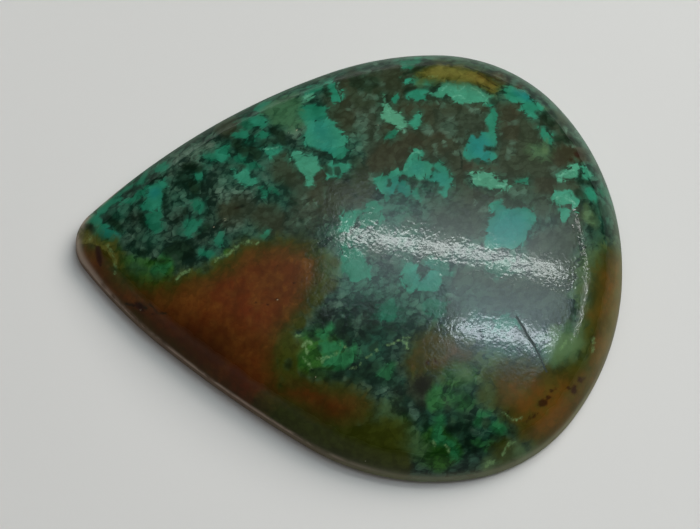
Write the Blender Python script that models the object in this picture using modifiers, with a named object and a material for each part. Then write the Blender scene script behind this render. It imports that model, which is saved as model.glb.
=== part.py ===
"""A pear-shaped cabochon of turquoise in brown rock.

One piece of stone: a flat sawn base with a narrow bevel at its foot, a short girdle wall, a rounded shoulder and a
low polished dome. Metres, +Z up, +X from the pointed tip towards the round end, origin under the middle of the
stone's bounding box, on the base.
"""

import math

import bpy
import numpy as np
from mathutils import Vector

MM = 0.001

# Driving dimensions
HEIGHT = 5.8 * MM  # base to the top of the dome
GIRDLE_TOP = 1.35 * MM  # where the wall ends and the shoulder starts
GIRDLE_FOOT = 0.50 * MM  # the widest line, above the bevel of the base
BEVEL = 0.42 * MM  # how far the base bevel comes in
WALL_LEAN = 0.14 * MM  # how far the wall leans in by its top
SHOULDER = 3.9 * MM  # width of the rounded shoulder, a quarter of an ellipse in section
SHOULDER_SPREAD = 0.10  # how much wider it gets for each millimetre towards the lower flank of the tip
CROWN_RADIUS_X = 80.0 * MM  # curvature of the dome along the stone
CROWN_RADIUS_Y = 56.0 * MM  # and across it
CROWN_CENTRE = 2.6 * MM  # the dome's top stands this far towards the round end

# The hand-cut outline, as arcs that run into one another: radius in millimetres, sweep in degrees.
# It starts on the upper side of the tip and goes counterclockwise, along the lower flank first.
START_HEADING = -131.8
OUTLINE = (
    (2.9, 83.9),  # the blunt tip
    (40.7, 12.6),  # the long lower flank
    (98.2, 7.9),
    (18.3, 40.4),
    (11.9, 41.8),
    (20.2, 60.2),  # the round end
    (19.0, 18.7),
    (12.4, 49.8),
    (24.0, 21.1),
    (54.8, 23.4),  # the upper flank, a little more bowed
)
ARC_STEP = 1.15 * MM  # longest step along an arc
ARC_TURN = 9.0  # and the most it may turn in one step, degrees

# Rings of the turned blank, from the top down: fractions of the way out to the shoulder, then across the shoulder
CROWN_RINGS = (0.0, 0.14, 0.28, 0.42, 0.56, 0.70, 0.85, 1.0)
SHOULDER_RINGS = (0.80, 0.61, 0.44, 0.30, 0.19, 0.11, 0.055, 0.02, 0.0)


def clear_scene():
    for obj in list(bpy.data.objects):
        bpy.data.objects.remove(obj, do_unlink=True)


def outline_points():
    """Points along the arcs, one entry a point, closed and centred on the bounding box."""
    turn = sum(sweep for _, sweep in OUTLINE)
    heading = math.radians(START_HEADING)
    here = np.zeros(2)
    points = []
    for radius, sweep in OUTLINE:
        radius *= MM
        sweep = math.radians(sweep * 360.0 / turn)
        steps = max(math.ceil(radius * sweep / ARC_STEP), math.ceil(math.degrees(sweep) / ARC_TURN))
        centre = here + radius * np.array((-math.sin(heading), math.cos(heading)))
        for k in range(steps):
            a = heading + sweep * k / steps
            points.append(centre + radius * np.array((math.sin(a), -math.cos(a))))
        heading += sweep
        here = centre + radius * np.array((math.sin(heading), -math.cos(heading)))
    points = np.array(points)
    points -= np.linspace(0.0, 1.0, len(points), endpoint=False)[:, None] * (here - points[0])
    return points - (points.max(axis=0) + points.min(axis=0)) / 2


def distance_to_outline(place, outline):
    """Shortest distance from each place to the closed outline."""
    start = outline
    along = np.roll(outline, -1, axis=0) - start
    share = ((place[:, None] - start) * along).sum(axis=2) / (along * along).sum(axis=1)
    nearest = start + np.clip(share, 0.0, 1.0)[:, :, None] * along
    return np.sqrt(((place[:, None] - nearest) ** 2).sum(axis=2)).min(axis=1)


def shoulder_width(place):
    """The shoulder is cut wider along the lower flank of the tip than elsewhere."""
    towards_flank = -(place[:, 0] + place[:, 1]) * math.sqrt(0.5)
    return SHOULDER + SHOULDER_SPREAD * np.clip(towards_flank, 0.0, None)


def dome_height(place, outline):
    """Height of the polished top: a broad crown that rolls down over the shoulder to the girdle."""
    crown = (
        HEIGHT
        - (place[:, 0] - CROWN_CENTRE) ** 2 / (2 * CROWN_RADIUS_X)
        - place[:, 1] ** 2 / (2 * CROWN_RADIUS_Y)
    )
    inside = np.clip(distance_to_outline(place, outline) / shoulder_width(place), 0.0, 1.0)
    return GIRDLE_TOP + (crown - GIRDLE_TOP) * np.sqrt(1.0 - (1.0 - inside) ** 2)


def turned_blank(steps):
    """A closed round blank, one ring of its profile for each ring of the stone, turned about Z."""
    rings = len(CROWN_RINGS) + len(SHOULDER_RINGS) + 2
    top = [(k / (rings - 1), 0.0, 1.0 - 0.5 * k / (rings - 1)) for k in range(rings)]
    profile = top + [(0.0, 0.0, 0.0)]
    mesh = bpy.data.meshes.new("blank")
    mesh.from_pydata(profile, [(k, k + 1) for k in range(len(profile) - 1)], [])
    blank = bpy.data.objects.new("blank", mesh)
    bpy.context.scene.collection.objects.link(blank)
    screw = blank.modifiers.new("turn", "SCREW")
    screw.axis = "Z"
    screw.steps = screw.render_steps = steps
    screw.use_merge_vertices = True
    screw.merge_threshold = 0.0001
    bpy.context.view_layer.update()
    turned = bpy.data.meshes.new_from_object(blank.evaluated_get(bpy.context.evaluated_depsgraph_get()))
    bpy.data.objects.remove(blank, do_unlink=True)
    return turned, rings


def draw_out(mesh, rings, outline):
    """Moves the blank's rings out to the pear outline and up to their heights."""
    count = len(outline)
    reach = np.linalg.norm(outline - (CROWN_CENTRE, 0.0), axis=1)
    away = (outline - (CROWN_CENTRE, 0.0)) / reach[:, None]
    shoulder = shoulder_width(outline)
    fans = []
    for k in range(rings):
        if k < len(CROWN_RINGS):
            spoke = CROWN_RINGS[k] * (reach - shoulder)
        elif k < len(CROWN_RINGS) + len(SHOULDER_RINGS):
            spoke = reach - shoulder * SHOULDER_RINGS[k - len(CROWN_RINGS)]
        else:
            spoke = reach.copy()
        if k == rings - 2:
            height = np.full(count, GIRDLE_FOOT)
        elif k == rings - 1:
            spoke -= BEVEL
            height = np.zeros(count)
        else:
            flat = (CROWN_CENTRE, 0.0) + away * spoke[:, None]
            height = dome_height(flat, outline)
            lean = np.clip((height - GIRDLE_FOOT) / (GIRDLE_TOP - GIRDLE_FOOT), 0.0, 1.0)
            spoke -= WALL_LEAN * lean * (spoke / reach) ** 4
        flat = (CROWN_CENTRE, 0.0) + away * spoke[:, None]
        fans.append(np.column_stack((flat, height)))
    for vertex in mesh.vertices:
        radius = math.hypot(vertex.co.x, vertex.co.y)
        ring = round(radius * (rings - 1))
        if ring == 0:
            top = vertex.co.z > 0.5
            vertex.co = Vector((CROWN_CENTRE, 0.0, HEIGHT if top else 0.0))
            continue
        step = round(math.atan2(vertex.co.y, vertex.co.x) / (2 * math.pi) * count) % count
        vertex.co = Vector(fans[ring][step])


def stone_material():
    material = bpy.data.materials.new("turquoise")
    material.use_nodes = True
    shader = material.node_tree.nodes["Principled BSDF"]
    shader.inputs["Base Color"].default_value = (0.030, 0.075, 0.045, 1.0)
    shader.inputs["Roughness"].default_value = 0.15
    shader.inputs["Metallic"].default_value = 0.0
    return material


clear_scene()
outline = outline_points()
mesh, rings = turned_blank(len(outline))
draw_out(mesh, rings, outline)
mesh.name = "cabochon"
mesh.shade_smooth()
mesh.set_sharp_from_angle(angle=math.radians(35.0))
mesh.materials.clear()
mesh.materials.append(stone_material())

parts = bpy.data.collections.new("turquoise_cabochon")
bpy.context.scene.collection.children.link(parts)
cabochon = bpy.data.objects.new("cabochon", mesh)
parts.objects.link(cabochon)
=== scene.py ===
# %% [markdown]
# # A pear-shaped turquoise cabochon
# The stone is a slice of rock in which turquoise, green copper minerals and brown iron rock grew together.
# A cutter ground it to a pear outline with a low dome, then polished it. This lesson dresses the packed
# solid: a camera and soft light first, then a fine mesh of the same stone, then its markings and its
# polish.

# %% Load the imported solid
import math

import bpy
import numpy as np
from mathutils import Matrix, Vector


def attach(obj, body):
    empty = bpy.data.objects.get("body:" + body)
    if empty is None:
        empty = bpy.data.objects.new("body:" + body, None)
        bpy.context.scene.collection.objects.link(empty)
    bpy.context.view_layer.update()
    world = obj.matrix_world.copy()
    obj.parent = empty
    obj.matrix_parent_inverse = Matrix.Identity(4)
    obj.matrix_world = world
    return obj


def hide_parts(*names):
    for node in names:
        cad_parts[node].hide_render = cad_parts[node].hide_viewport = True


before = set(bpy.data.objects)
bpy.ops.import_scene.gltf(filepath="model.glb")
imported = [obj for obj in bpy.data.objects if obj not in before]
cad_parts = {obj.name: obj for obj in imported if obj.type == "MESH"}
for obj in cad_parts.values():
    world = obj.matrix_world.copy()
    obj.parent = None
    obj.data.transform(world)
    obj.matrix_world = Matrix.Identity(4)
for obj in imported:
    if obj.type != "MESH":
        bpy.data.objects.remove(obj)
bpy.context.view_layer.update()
MM = 0.001

# %% [markdown]
# ## Camera
# The stone lies flat and is seen from almost straight above, a little from one long side, so that the wall
# shows as a thin dark line under that edge. The camera's place is worked out from two angles and a
# distance, which is easier to correct than three coordinates.

# %% Camera
AROUND, ABOVE = math.radians(3.636), math.radians(72.0)
DISTANCE = 124.944  # millimetres from the camera to its aim
AIM = (0.218, -1.436, 3.0)
FOCAL_LENGTH, SENSOR_WIDTH = 85.0, 36.0
NEAREST = 0.01  # metres; Blender's own near limit would cut into so close a view

backward = Vector((math.sin(AROUND) * math.cos(ABOVE), -math.cos(AROUND) * math.cos(ABOVE), math.sin(ABOVE)))
rightward = Vector((math.cos(AROUND), math.sin(AROUND), 0.0))
upward = backward.cross(rightward)
stand = Vector(AIM) * MM + backward * DISTANCE * MM
lens = bpy.data.cameras.new("camera")
lens.lens, lens.sensor_width, lens.clip_start = FOCAL_LENGTH, SENSOR_WIDTH, NEAREST
camera = bpy.data.objects.new("camera", lens)
camera.matrix_world = Matrix.Translation(stand) @ Matrix((rightward, upward, backward)).transposed().to_4x4()
bpy.context.scene.collection.objects.link(camera)
bpy.context.scene.camera = camera
bpy.context.scene.view_settings.view_transform = "Standard"
print("camera stands at", [round(v, 4) for v in camera.matrix_world.translation])

# %% [markdown]
# ## Light
# A polished dome is a mirror for whatever hangs over it. Here that is a ceiling fitting: two bright tubes,
# each in a pale field that fades out, and farther off a second fitting that draws the fine bright line
# inside the round end. Area lights of the same shape, size and distance give the same streaks. The soft
# light that models the stone's form comes from large panels that glossy rays are told to skip, so that they
# add no streaks.

# %% Kinds of light
FITTING_HEIGHT = 0.30  # metres over the table
FADE_STEPS = 7
FADE_GAP = 0.0004  # metres between the nested panels of a field


def panel(name, centre, aim_at, size, watts, colour=(1, 1, 1), mirrored=True):
    """A rectangular area light in metres. mirrored says whether polished surfaces show it."""
    data = bpy.data.lights.new(name, "AREA")
    data.shape = "RECTANGLE"
    data.size, data.size_y = size
    data.energy = watts
    data.color = colour
    obj = bpy.data.objects.new(name, data)
    obj.location = centre
    obj.rotation_euler = (Vector(centre) - Vector(aim_at)).to_track_quat("Z", "Y").to_euler()
    obj.visible_glossy = mirrored
    obj.visible_camera = False
    bpy.context.scene.collection.objects.link(obj)
    return obj


def overhead(name, start, end, width, radiance, colour=(1, 1, 1), height=FITTING_HEIGHT):
    """A panel that faces straight down, from start to end in plan, given by how bright it looks."""
    run = Vector(end) - Vector(start)
    middle = (Vector(start) + Vector(end)) / 2
    watts = radiance * math.pi * run.length * width
    obj = panel(name, (*middle, height), (*middle, 0.0), (run.length, width), watts, colour)
    obj.rotation_euler = (0.0, 0.0, math.atan2(run.y, run.x))


def field(name, lefts, rights, y, widths, radiance, colour, height):
    """The pale field round a tube: nested panels that fade out together. lefts and rights hold where the
    smallest and the largest panel begin and end in x, and widths the smallest and what the largest adds."""
    for k in range(FADE_STEPS):
        grow = k / (FADE_STEPS - 1)
        left, right = (pair[0] + (pair[1] - pair[0]) * grow for pair in (lefts, rights))
        overhead(f"{name}_{k}", (left, y), (right, y), widths[0] + widths[1] * grow, radiance / FADE_STEPS,
                 colour, height + FADE_GAP * k)


# %% Tubes, fields and soft light
overhead("tube_far", start=(-0.029, 0.101), end=(0.160, 0.084), width=0.011, radiance=15.0,
         colour=(0.94, 1.0, 0.97))
overhead("tube_near", start=(0.064, 0.008), end=(0.148, 0.007), width=0.011, radiance=15.0,
         colour=(0.84, 0.93, 1.0))
field("field_far", lefts=(-0.004, -0.050), rights=(0.132, 0.196), y=0.096, widths=(0.045, 0.125),
      radiance=2.05, colour=(0.70, 0.92, 1.0), height=0.301)
field("field_near", lefts=(0.077, 0.045), rights=(0.128, 0.176), y=0.014, widths=(0.028, 0.078),
      radiance=2.8, colour=(0.60, 0.84, 1.0), height=0.3012)
overhead("fitting_end", start=(0.312, -0.015), end=(0.330, 0.085), width=0.006, radiance=20.0)
overhead("fitting_corner", start=(0.330, 0.085), end=(0.190, 0.178), width=0.007, radiance=20.0)
overhead("fitting_side", start=(0.302, -0.010), end=(0.320, 0.110), width=0.100, radiance=1.5,
         colour=(0.86, 0.96, 1.0), height=0.3008)
panel("window", centre=(0.34, 0.34, 0.45), aim_at=(0, 0, 0), size=(0.50, 0.40), watts=3.0,
      colour=(1.0, 0.985, 0.955), mirrored=False)
panel("room", centre=(-0.05, 0.0, 0.8), aim_at=(0, 0, 0), size=(0.9, 0.9), watts=1.3,
      colour=(1.0, 0.99, 0.97), mirrored=False)
world = bpy.data.worlds.new("room_light")
bpy.context.scene.world = world
world.use_nodes = True
world.node_tree.nodes["Background"].inputs["Color"].default_value = (0.80, 0.86, 0.95, 1)
world.node_tree.nodes["Background"].inputs["Strength"].default_value = 0.05
world.cycles_visibility.glossy = False

# %% [markdown]
# ## The stone's form
# The cutter draws the pear with a template: a blunt tip, two long flanks and a full round end, each an arc
# that runs into the next. The dome is one formula: a broad crown that rolls down over a shoulder a few
# millimetres wide. Both are repeated from the solid's own values, so the fine mesh lies on the solid
# everywhere.

# %% Outline
START_HEADING = -131.8
# radius in millimetres and sweep in degrees of each arc, from the tip along the near flank and round
ARCS = ((2.9, 83.9), (40.7, 12.6), (98.2, 7.9), (18.3, 40.4), (11.9, 41.8),
        (20.2, 60.2), (19.0, 18.7), (12.4, 49.8), (24.0, 21.1), (54.8, 23.4))


def pear(points_per_arc):
    """The closed outline as points along its arcs, centred on its bounding box."""
    whole_turn = sum(sweep for _, sweep in ARCS)
    heading, here, corners = math.radians(START_HEADING), np.zeros(2), []
    for radius, sweep in ARCS:
        sweep = math.radians(sweep * 360.0 / whole_turn)
        centre = here + radius * np.array((-math.sin(heading), math.cos(heading)))
        bearings = heading + sweep * np.arange(points_per_arc) / points_per_arc
        corners.append(centre + radius * np.column_stack((np.sin(bearings), -np.cos(bearings))))
        heading += sweep
        here = centre + radius * np.array((math.sin(heading), -math.cos(heading)))
    corners = np.concatenate(corners)
    corners -= np.linspace(0.0, 1.0, len(corners), endpoint=False)[:, None] * (here - corners[0])
    return corners - (corners.max(axis=0) + corners.min(axis=0)) / 2


OUTLINE = pear(40)
print("outline in mm:", np.ptp(OUTLINE, axis=0).round(2))

# %% Distance to an outline
TINY = 1e-12


def to_polygon(places, corners, block=4000):
    """Distance from each place to a closed polygon, negative inside it. Places are taken a block at a time."""
    places, corners = np.asarray(places, float), np.asarray(corners, float)
    along = np.roll(corners, -1, axis=0) - corners
    length2 = np.maximum((along ** 2).sum(axis=1), TINY)
    result = np.empty(len(places))
    for k in range(0, len(places), block):
        offset = places[k:k + block, None] - corners
        share = np.clip((offset * along).sum(axis=2) / length2, 0.0, 1.0)
        distance = np.sqrt(((offset - share[:, :, None] * along) ** 2).sum(axis=2).min(axis=1))
        y, top = places[k:k + block, 1][:, None], corners[:, 1] + along[:, 1]
        crosses = (corners[:, 1] > y) != (top > y)
        rise = np.where(np.abs(along[:, 1]) < TINY, TINY, along[:, 1])
        right = places[k:k + block, 0][:, None] < corners[:, 0] + (y - corners[:, 1]) / rise * along[:, 0]
        inside = (crosses & right).sum(axis=1) % 2 == 1
        result[k:k + block] = np.where(inside, -distance, distance)
    return result


print("the middle lies", -to_polygon([(0.0, 0.0)], OUTLINE)[0].round(2), "mm inside the outline")

# %% Dome
HEIGHT, GIRDLE_TOP, GIRDLE_FOOT = 5.8, 1.35, 0.50
BEVEL, WALL_LEAN = 0.42, 0.14
SHOULDER, SHOULDER_SPREAD = 3.9, 0.10
CROWN_RADIUS_X, CROWN_RADIUS_Y, CROWN_CENTRE = 80.0, 56.0, 2.6
CENTRE = np.array((CROWN_CENTRE, 0.0))


def dome(places):
    """Height of the polished top above the base."""
    fall = (places[:, 0] - CROWN_CENTRE) ** 2 / (2 * CROWN_RADIUS_X)
    crown = HEIGHT - fall - places[:, 1] ** 2 / (2 * CROWN_RADIUS_Y)
    to_flank = np.clip(-(places[:, 0] + places[:, 1]) * math.sqrt(0.5), 0.0, None)
    width = SHOULDER + SHOULDER_SPREAD * to_flank
    inside = np.clip(-to_polygon(places, OUTLINE) / width, 0.0, 1.0)
    return GIRDLE_TOP + (crown - GIRDLE_TOP) * np.sqrt(1.0 - (1.0 - inside) ** 2)


print("dome top:", dome(CENTRE[None])[0].round(2), "mm")

# %% [markdown]
# ## A fine mesh with even faces
# Rings round a centre would crowd the middle with slivers and starve the rim. Instead a square grid is
# pressed into a disc, which keeps its cells alike, and the disc is drawn out to the pear. The wall, the
# bevel and the base follow from the grid's border, so the stone stays one closed body.

# %% Grid pressed into a disc
CELLS = 264
RIM_CROWDING, RIM_POWER = 0.6, 12  # how far the cells are drawn to the rim, and how late on the way out

side = np.linspace(-1.0, 1.0, CELLS + 1)
across, up = (a.ravel() for a in np.meshgrid(side, side, indexing="ij"))
wide = np.abs(across) > np.abs(up)
square = np.where(wide, across, up)
safe = np.where(np.abs(square) < TINY, 1.0, square)
swing = np.where(wide, math.pi / 4 * up / safe, math.pi / 2 - math.pi / 4 * across / safe)
disc = np.column_stack((square * np.cos(swing), square * np.sin(swing)))
bearing = np.arctan2(disc[:, 1], disc[:, 0])
spoke = np.hypot(disc[:, 0], disc[:, 1])
spoke = 1.0 - (1.0 - spoke) * (1.0 - RIM_CROWDING * spoke ** RIM_POWER)
print("disc:", len(disc), "points, the last step to the rim is", (1 - np.sort(spoke)[-4 * CELLS - 1]).round(4))

# %% Disc drawn out to the pear
# how far the outline stands from the crown's centre in each direction
outline_bearing = np.arctan2(*(OUTLINE - CENTRE).T[::-1])
outline_reach = np.hypot(*(OUTLINE - CENTRE).T)
order = np.argsort(outline_bearing)
reach = np.interp(bearing, outline_bearing[order], outline_reach[order], period=2 * math.pi)
away = np.column_stack((np.cos(bearing), np.sin(bearing)))
plan = CENTRE + away * (spoke * reach)[:, None]
top_z = dome(plan)
plan -= away * (WALL_LEAN * spoke ** RIM_POWER)[:, None]

index = np.arange((CELLS + 1) ** 2).reshape(CELLS + 1, CELLS + 1)
faces = np.stack((index[:-1, :-1], index[1:, :-1], index[1:, 1:], index[:-1, 1:]), axis=-1).reshape(-1, 4)
border = np.concatenate((index[:-1, 0], index[-1, :-1], index[:0:-1, -1], index[0, :0:-1]))
print("grid:", len(plan), "points,", len(faces), "quads, border of", len(border))

# %% Wall, bevel and base
# each ring below the shoulder: its inset from the widest line, and its height
WALL_RINGS = ((0.105, 1.20), (0.075, 1.00), (0.045, 0.80), (0.012, 0.60), (0.0, GIRDLE_FOOT), (0.04, 0.40),
              (0.20, 0.20), (BEVEL - 0.06, 0.03), (BEVEL, 0.0))
BASE_RINGS = 10

base_steps = np.linspace(0.0, 1.0, BASE_RINGS + 2)[1:-1]
ring_start, count = len(plan), len(border)
border_away, border_reach = away[border], reach[border]
points = [np.column_stack((plan, top_z))]
for inset, z in WALL_RINGS:
    ring = CENTRE + border_away * (border_reach - inset)[:, None]
    points.append(np.column_stack((ring, np.full(count, z))))
for inward in base_steps:
    ring = CENTRE + border_away * ((border_reach - BEVEL) * (1.0 - inward))[:, None]
    points.append(np.column_stack((ring, np.zeros(count))))
points.append(np.array([[*CENTRE, 0.0]]))
points = np.concatenate(points)
loops = [border] + [ring_start + k * count + np.arange(count) for k in range(len(WALL_RINGS) + BASE_RINGS)]
skirt = [np.stack((upper, lower, np.roll(lower, -1), np.roll(upper, -1)), axis=-1)
         for upper, lower in zip(loops[:-1], loops[1:])]
fan = np.stack((loops[-1], np.full(count, len(points) - 1), np.roll(loops[-1], -1)), axis=-1)
print("whole stone:", len(points), "points,", len(faces) + sum(map(len, skirt)) + len(fan), "faces")

# %% [markdown]
# ## Markings
# Turquoise filled the cracks of a broken rock, so its patches have crisp, stepped edges, while iron stained
# whole regions brown with soft, olive borders. The crisp ones are laid out as outlines and kept as a
# distance to the edge, which stays sharp however far one zooms in. The soft ones are dabs that fade out,
# like an airbrush. Everything is in millimetres on the stone, x from the middle towards the round end, y
# across. Each marking ends up as a value on every point of the mesh, under a name that the material reads
# later.

# %% Outlines into values
where = points[:, :2]
marks = {}


def corners_of(walk):
    """The corners of a walked outline, in millimetres."""
    return np.cumsum(np.reshape(walk, (-1, 2)), axis=0) / 10.0


def mark_patches(name, patches, softness):
    """1 inside, 0 outside, 0.5 on the edge, and the tone of the patch that is nearest."""
    beyond = 2.5  # places farther from a patch than this don't need it
    depth, tones = np.full(len(where), -9.0), np.zeros(len(where))
    for value, *walk in patches:
        corners = corners_of(walk)
        low, high = corners.min(axis=0) - beyond, corners.max(axis=0) + beyond
        near = np.flatnonzero(np.all((where > low) & (where < high), axis=1))
        here = -to_polygon(where[near], corners)
        better = here > depth[near]
        depth[near[better]], tones[near[better]] = here[better], value
    marks[name], marks[name + "_tone"] = np.clip(0.5 + depth / (2 * softness), 0.0, 1.0), tones
    print(name, "covers", (depth > 0).mean().round(3), "of the points")


def mark_veins(name, veins):
    """0.5 on the edge of a vein and more inside it. A vein is an outline that goes out and back on one line."""
    softness, beyond = 0.25, 1.0
    best = np.zeros(len(where))
    for half_width, *walk in veins:
        line = corners_of(walk)
        low, high = line.min(axis=0) - beyond, line.max(axis=0) + beyond
        near = np.flatnonzero(np.all((where > low) & (where < high), axis=1))
        depth = half_width - np.abs(to_polygon(where[near], np.concatenate((line, line[-2:0:-1]))))
        best[near] = np.maximum(best[near], np.clip(0.5 + depth / (2 * softness), 0.0, 1.0))
    marks[name] = best
    print(name, "veins:", len(veins))


# %% Dabs into values
def airbrush(name, dabs):
    """Soft dabs of x, y, radius and amount, laid over one another."""
    clear = np.ones(len(where))
    for x, y, size, amount in dabs:
        d2 = ((where[:, 0] - x) ** 2 + (where[:, 1] - y) ** 2) / size ** 2
        clear *= 1.0 - min(amount, 0.97) * np.exp(-1.2 * d2 ** 1.3)
    marks[name] = 1.0 - clear
    print(name, "dabs:", len(dabs))


# %% [markdown]
# ### Turquoise
# The ore itself: blocky patches where it filled the cracks, in every tone from pale mint to a dull green
# blue. An outline is walked: each row is a tone from 0 to 1, the first corner, and then the step to each
# next corner, in tenths of a millimetre. Steps keep the rows short, and a whole patch moves with its first
# corner.

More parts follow.
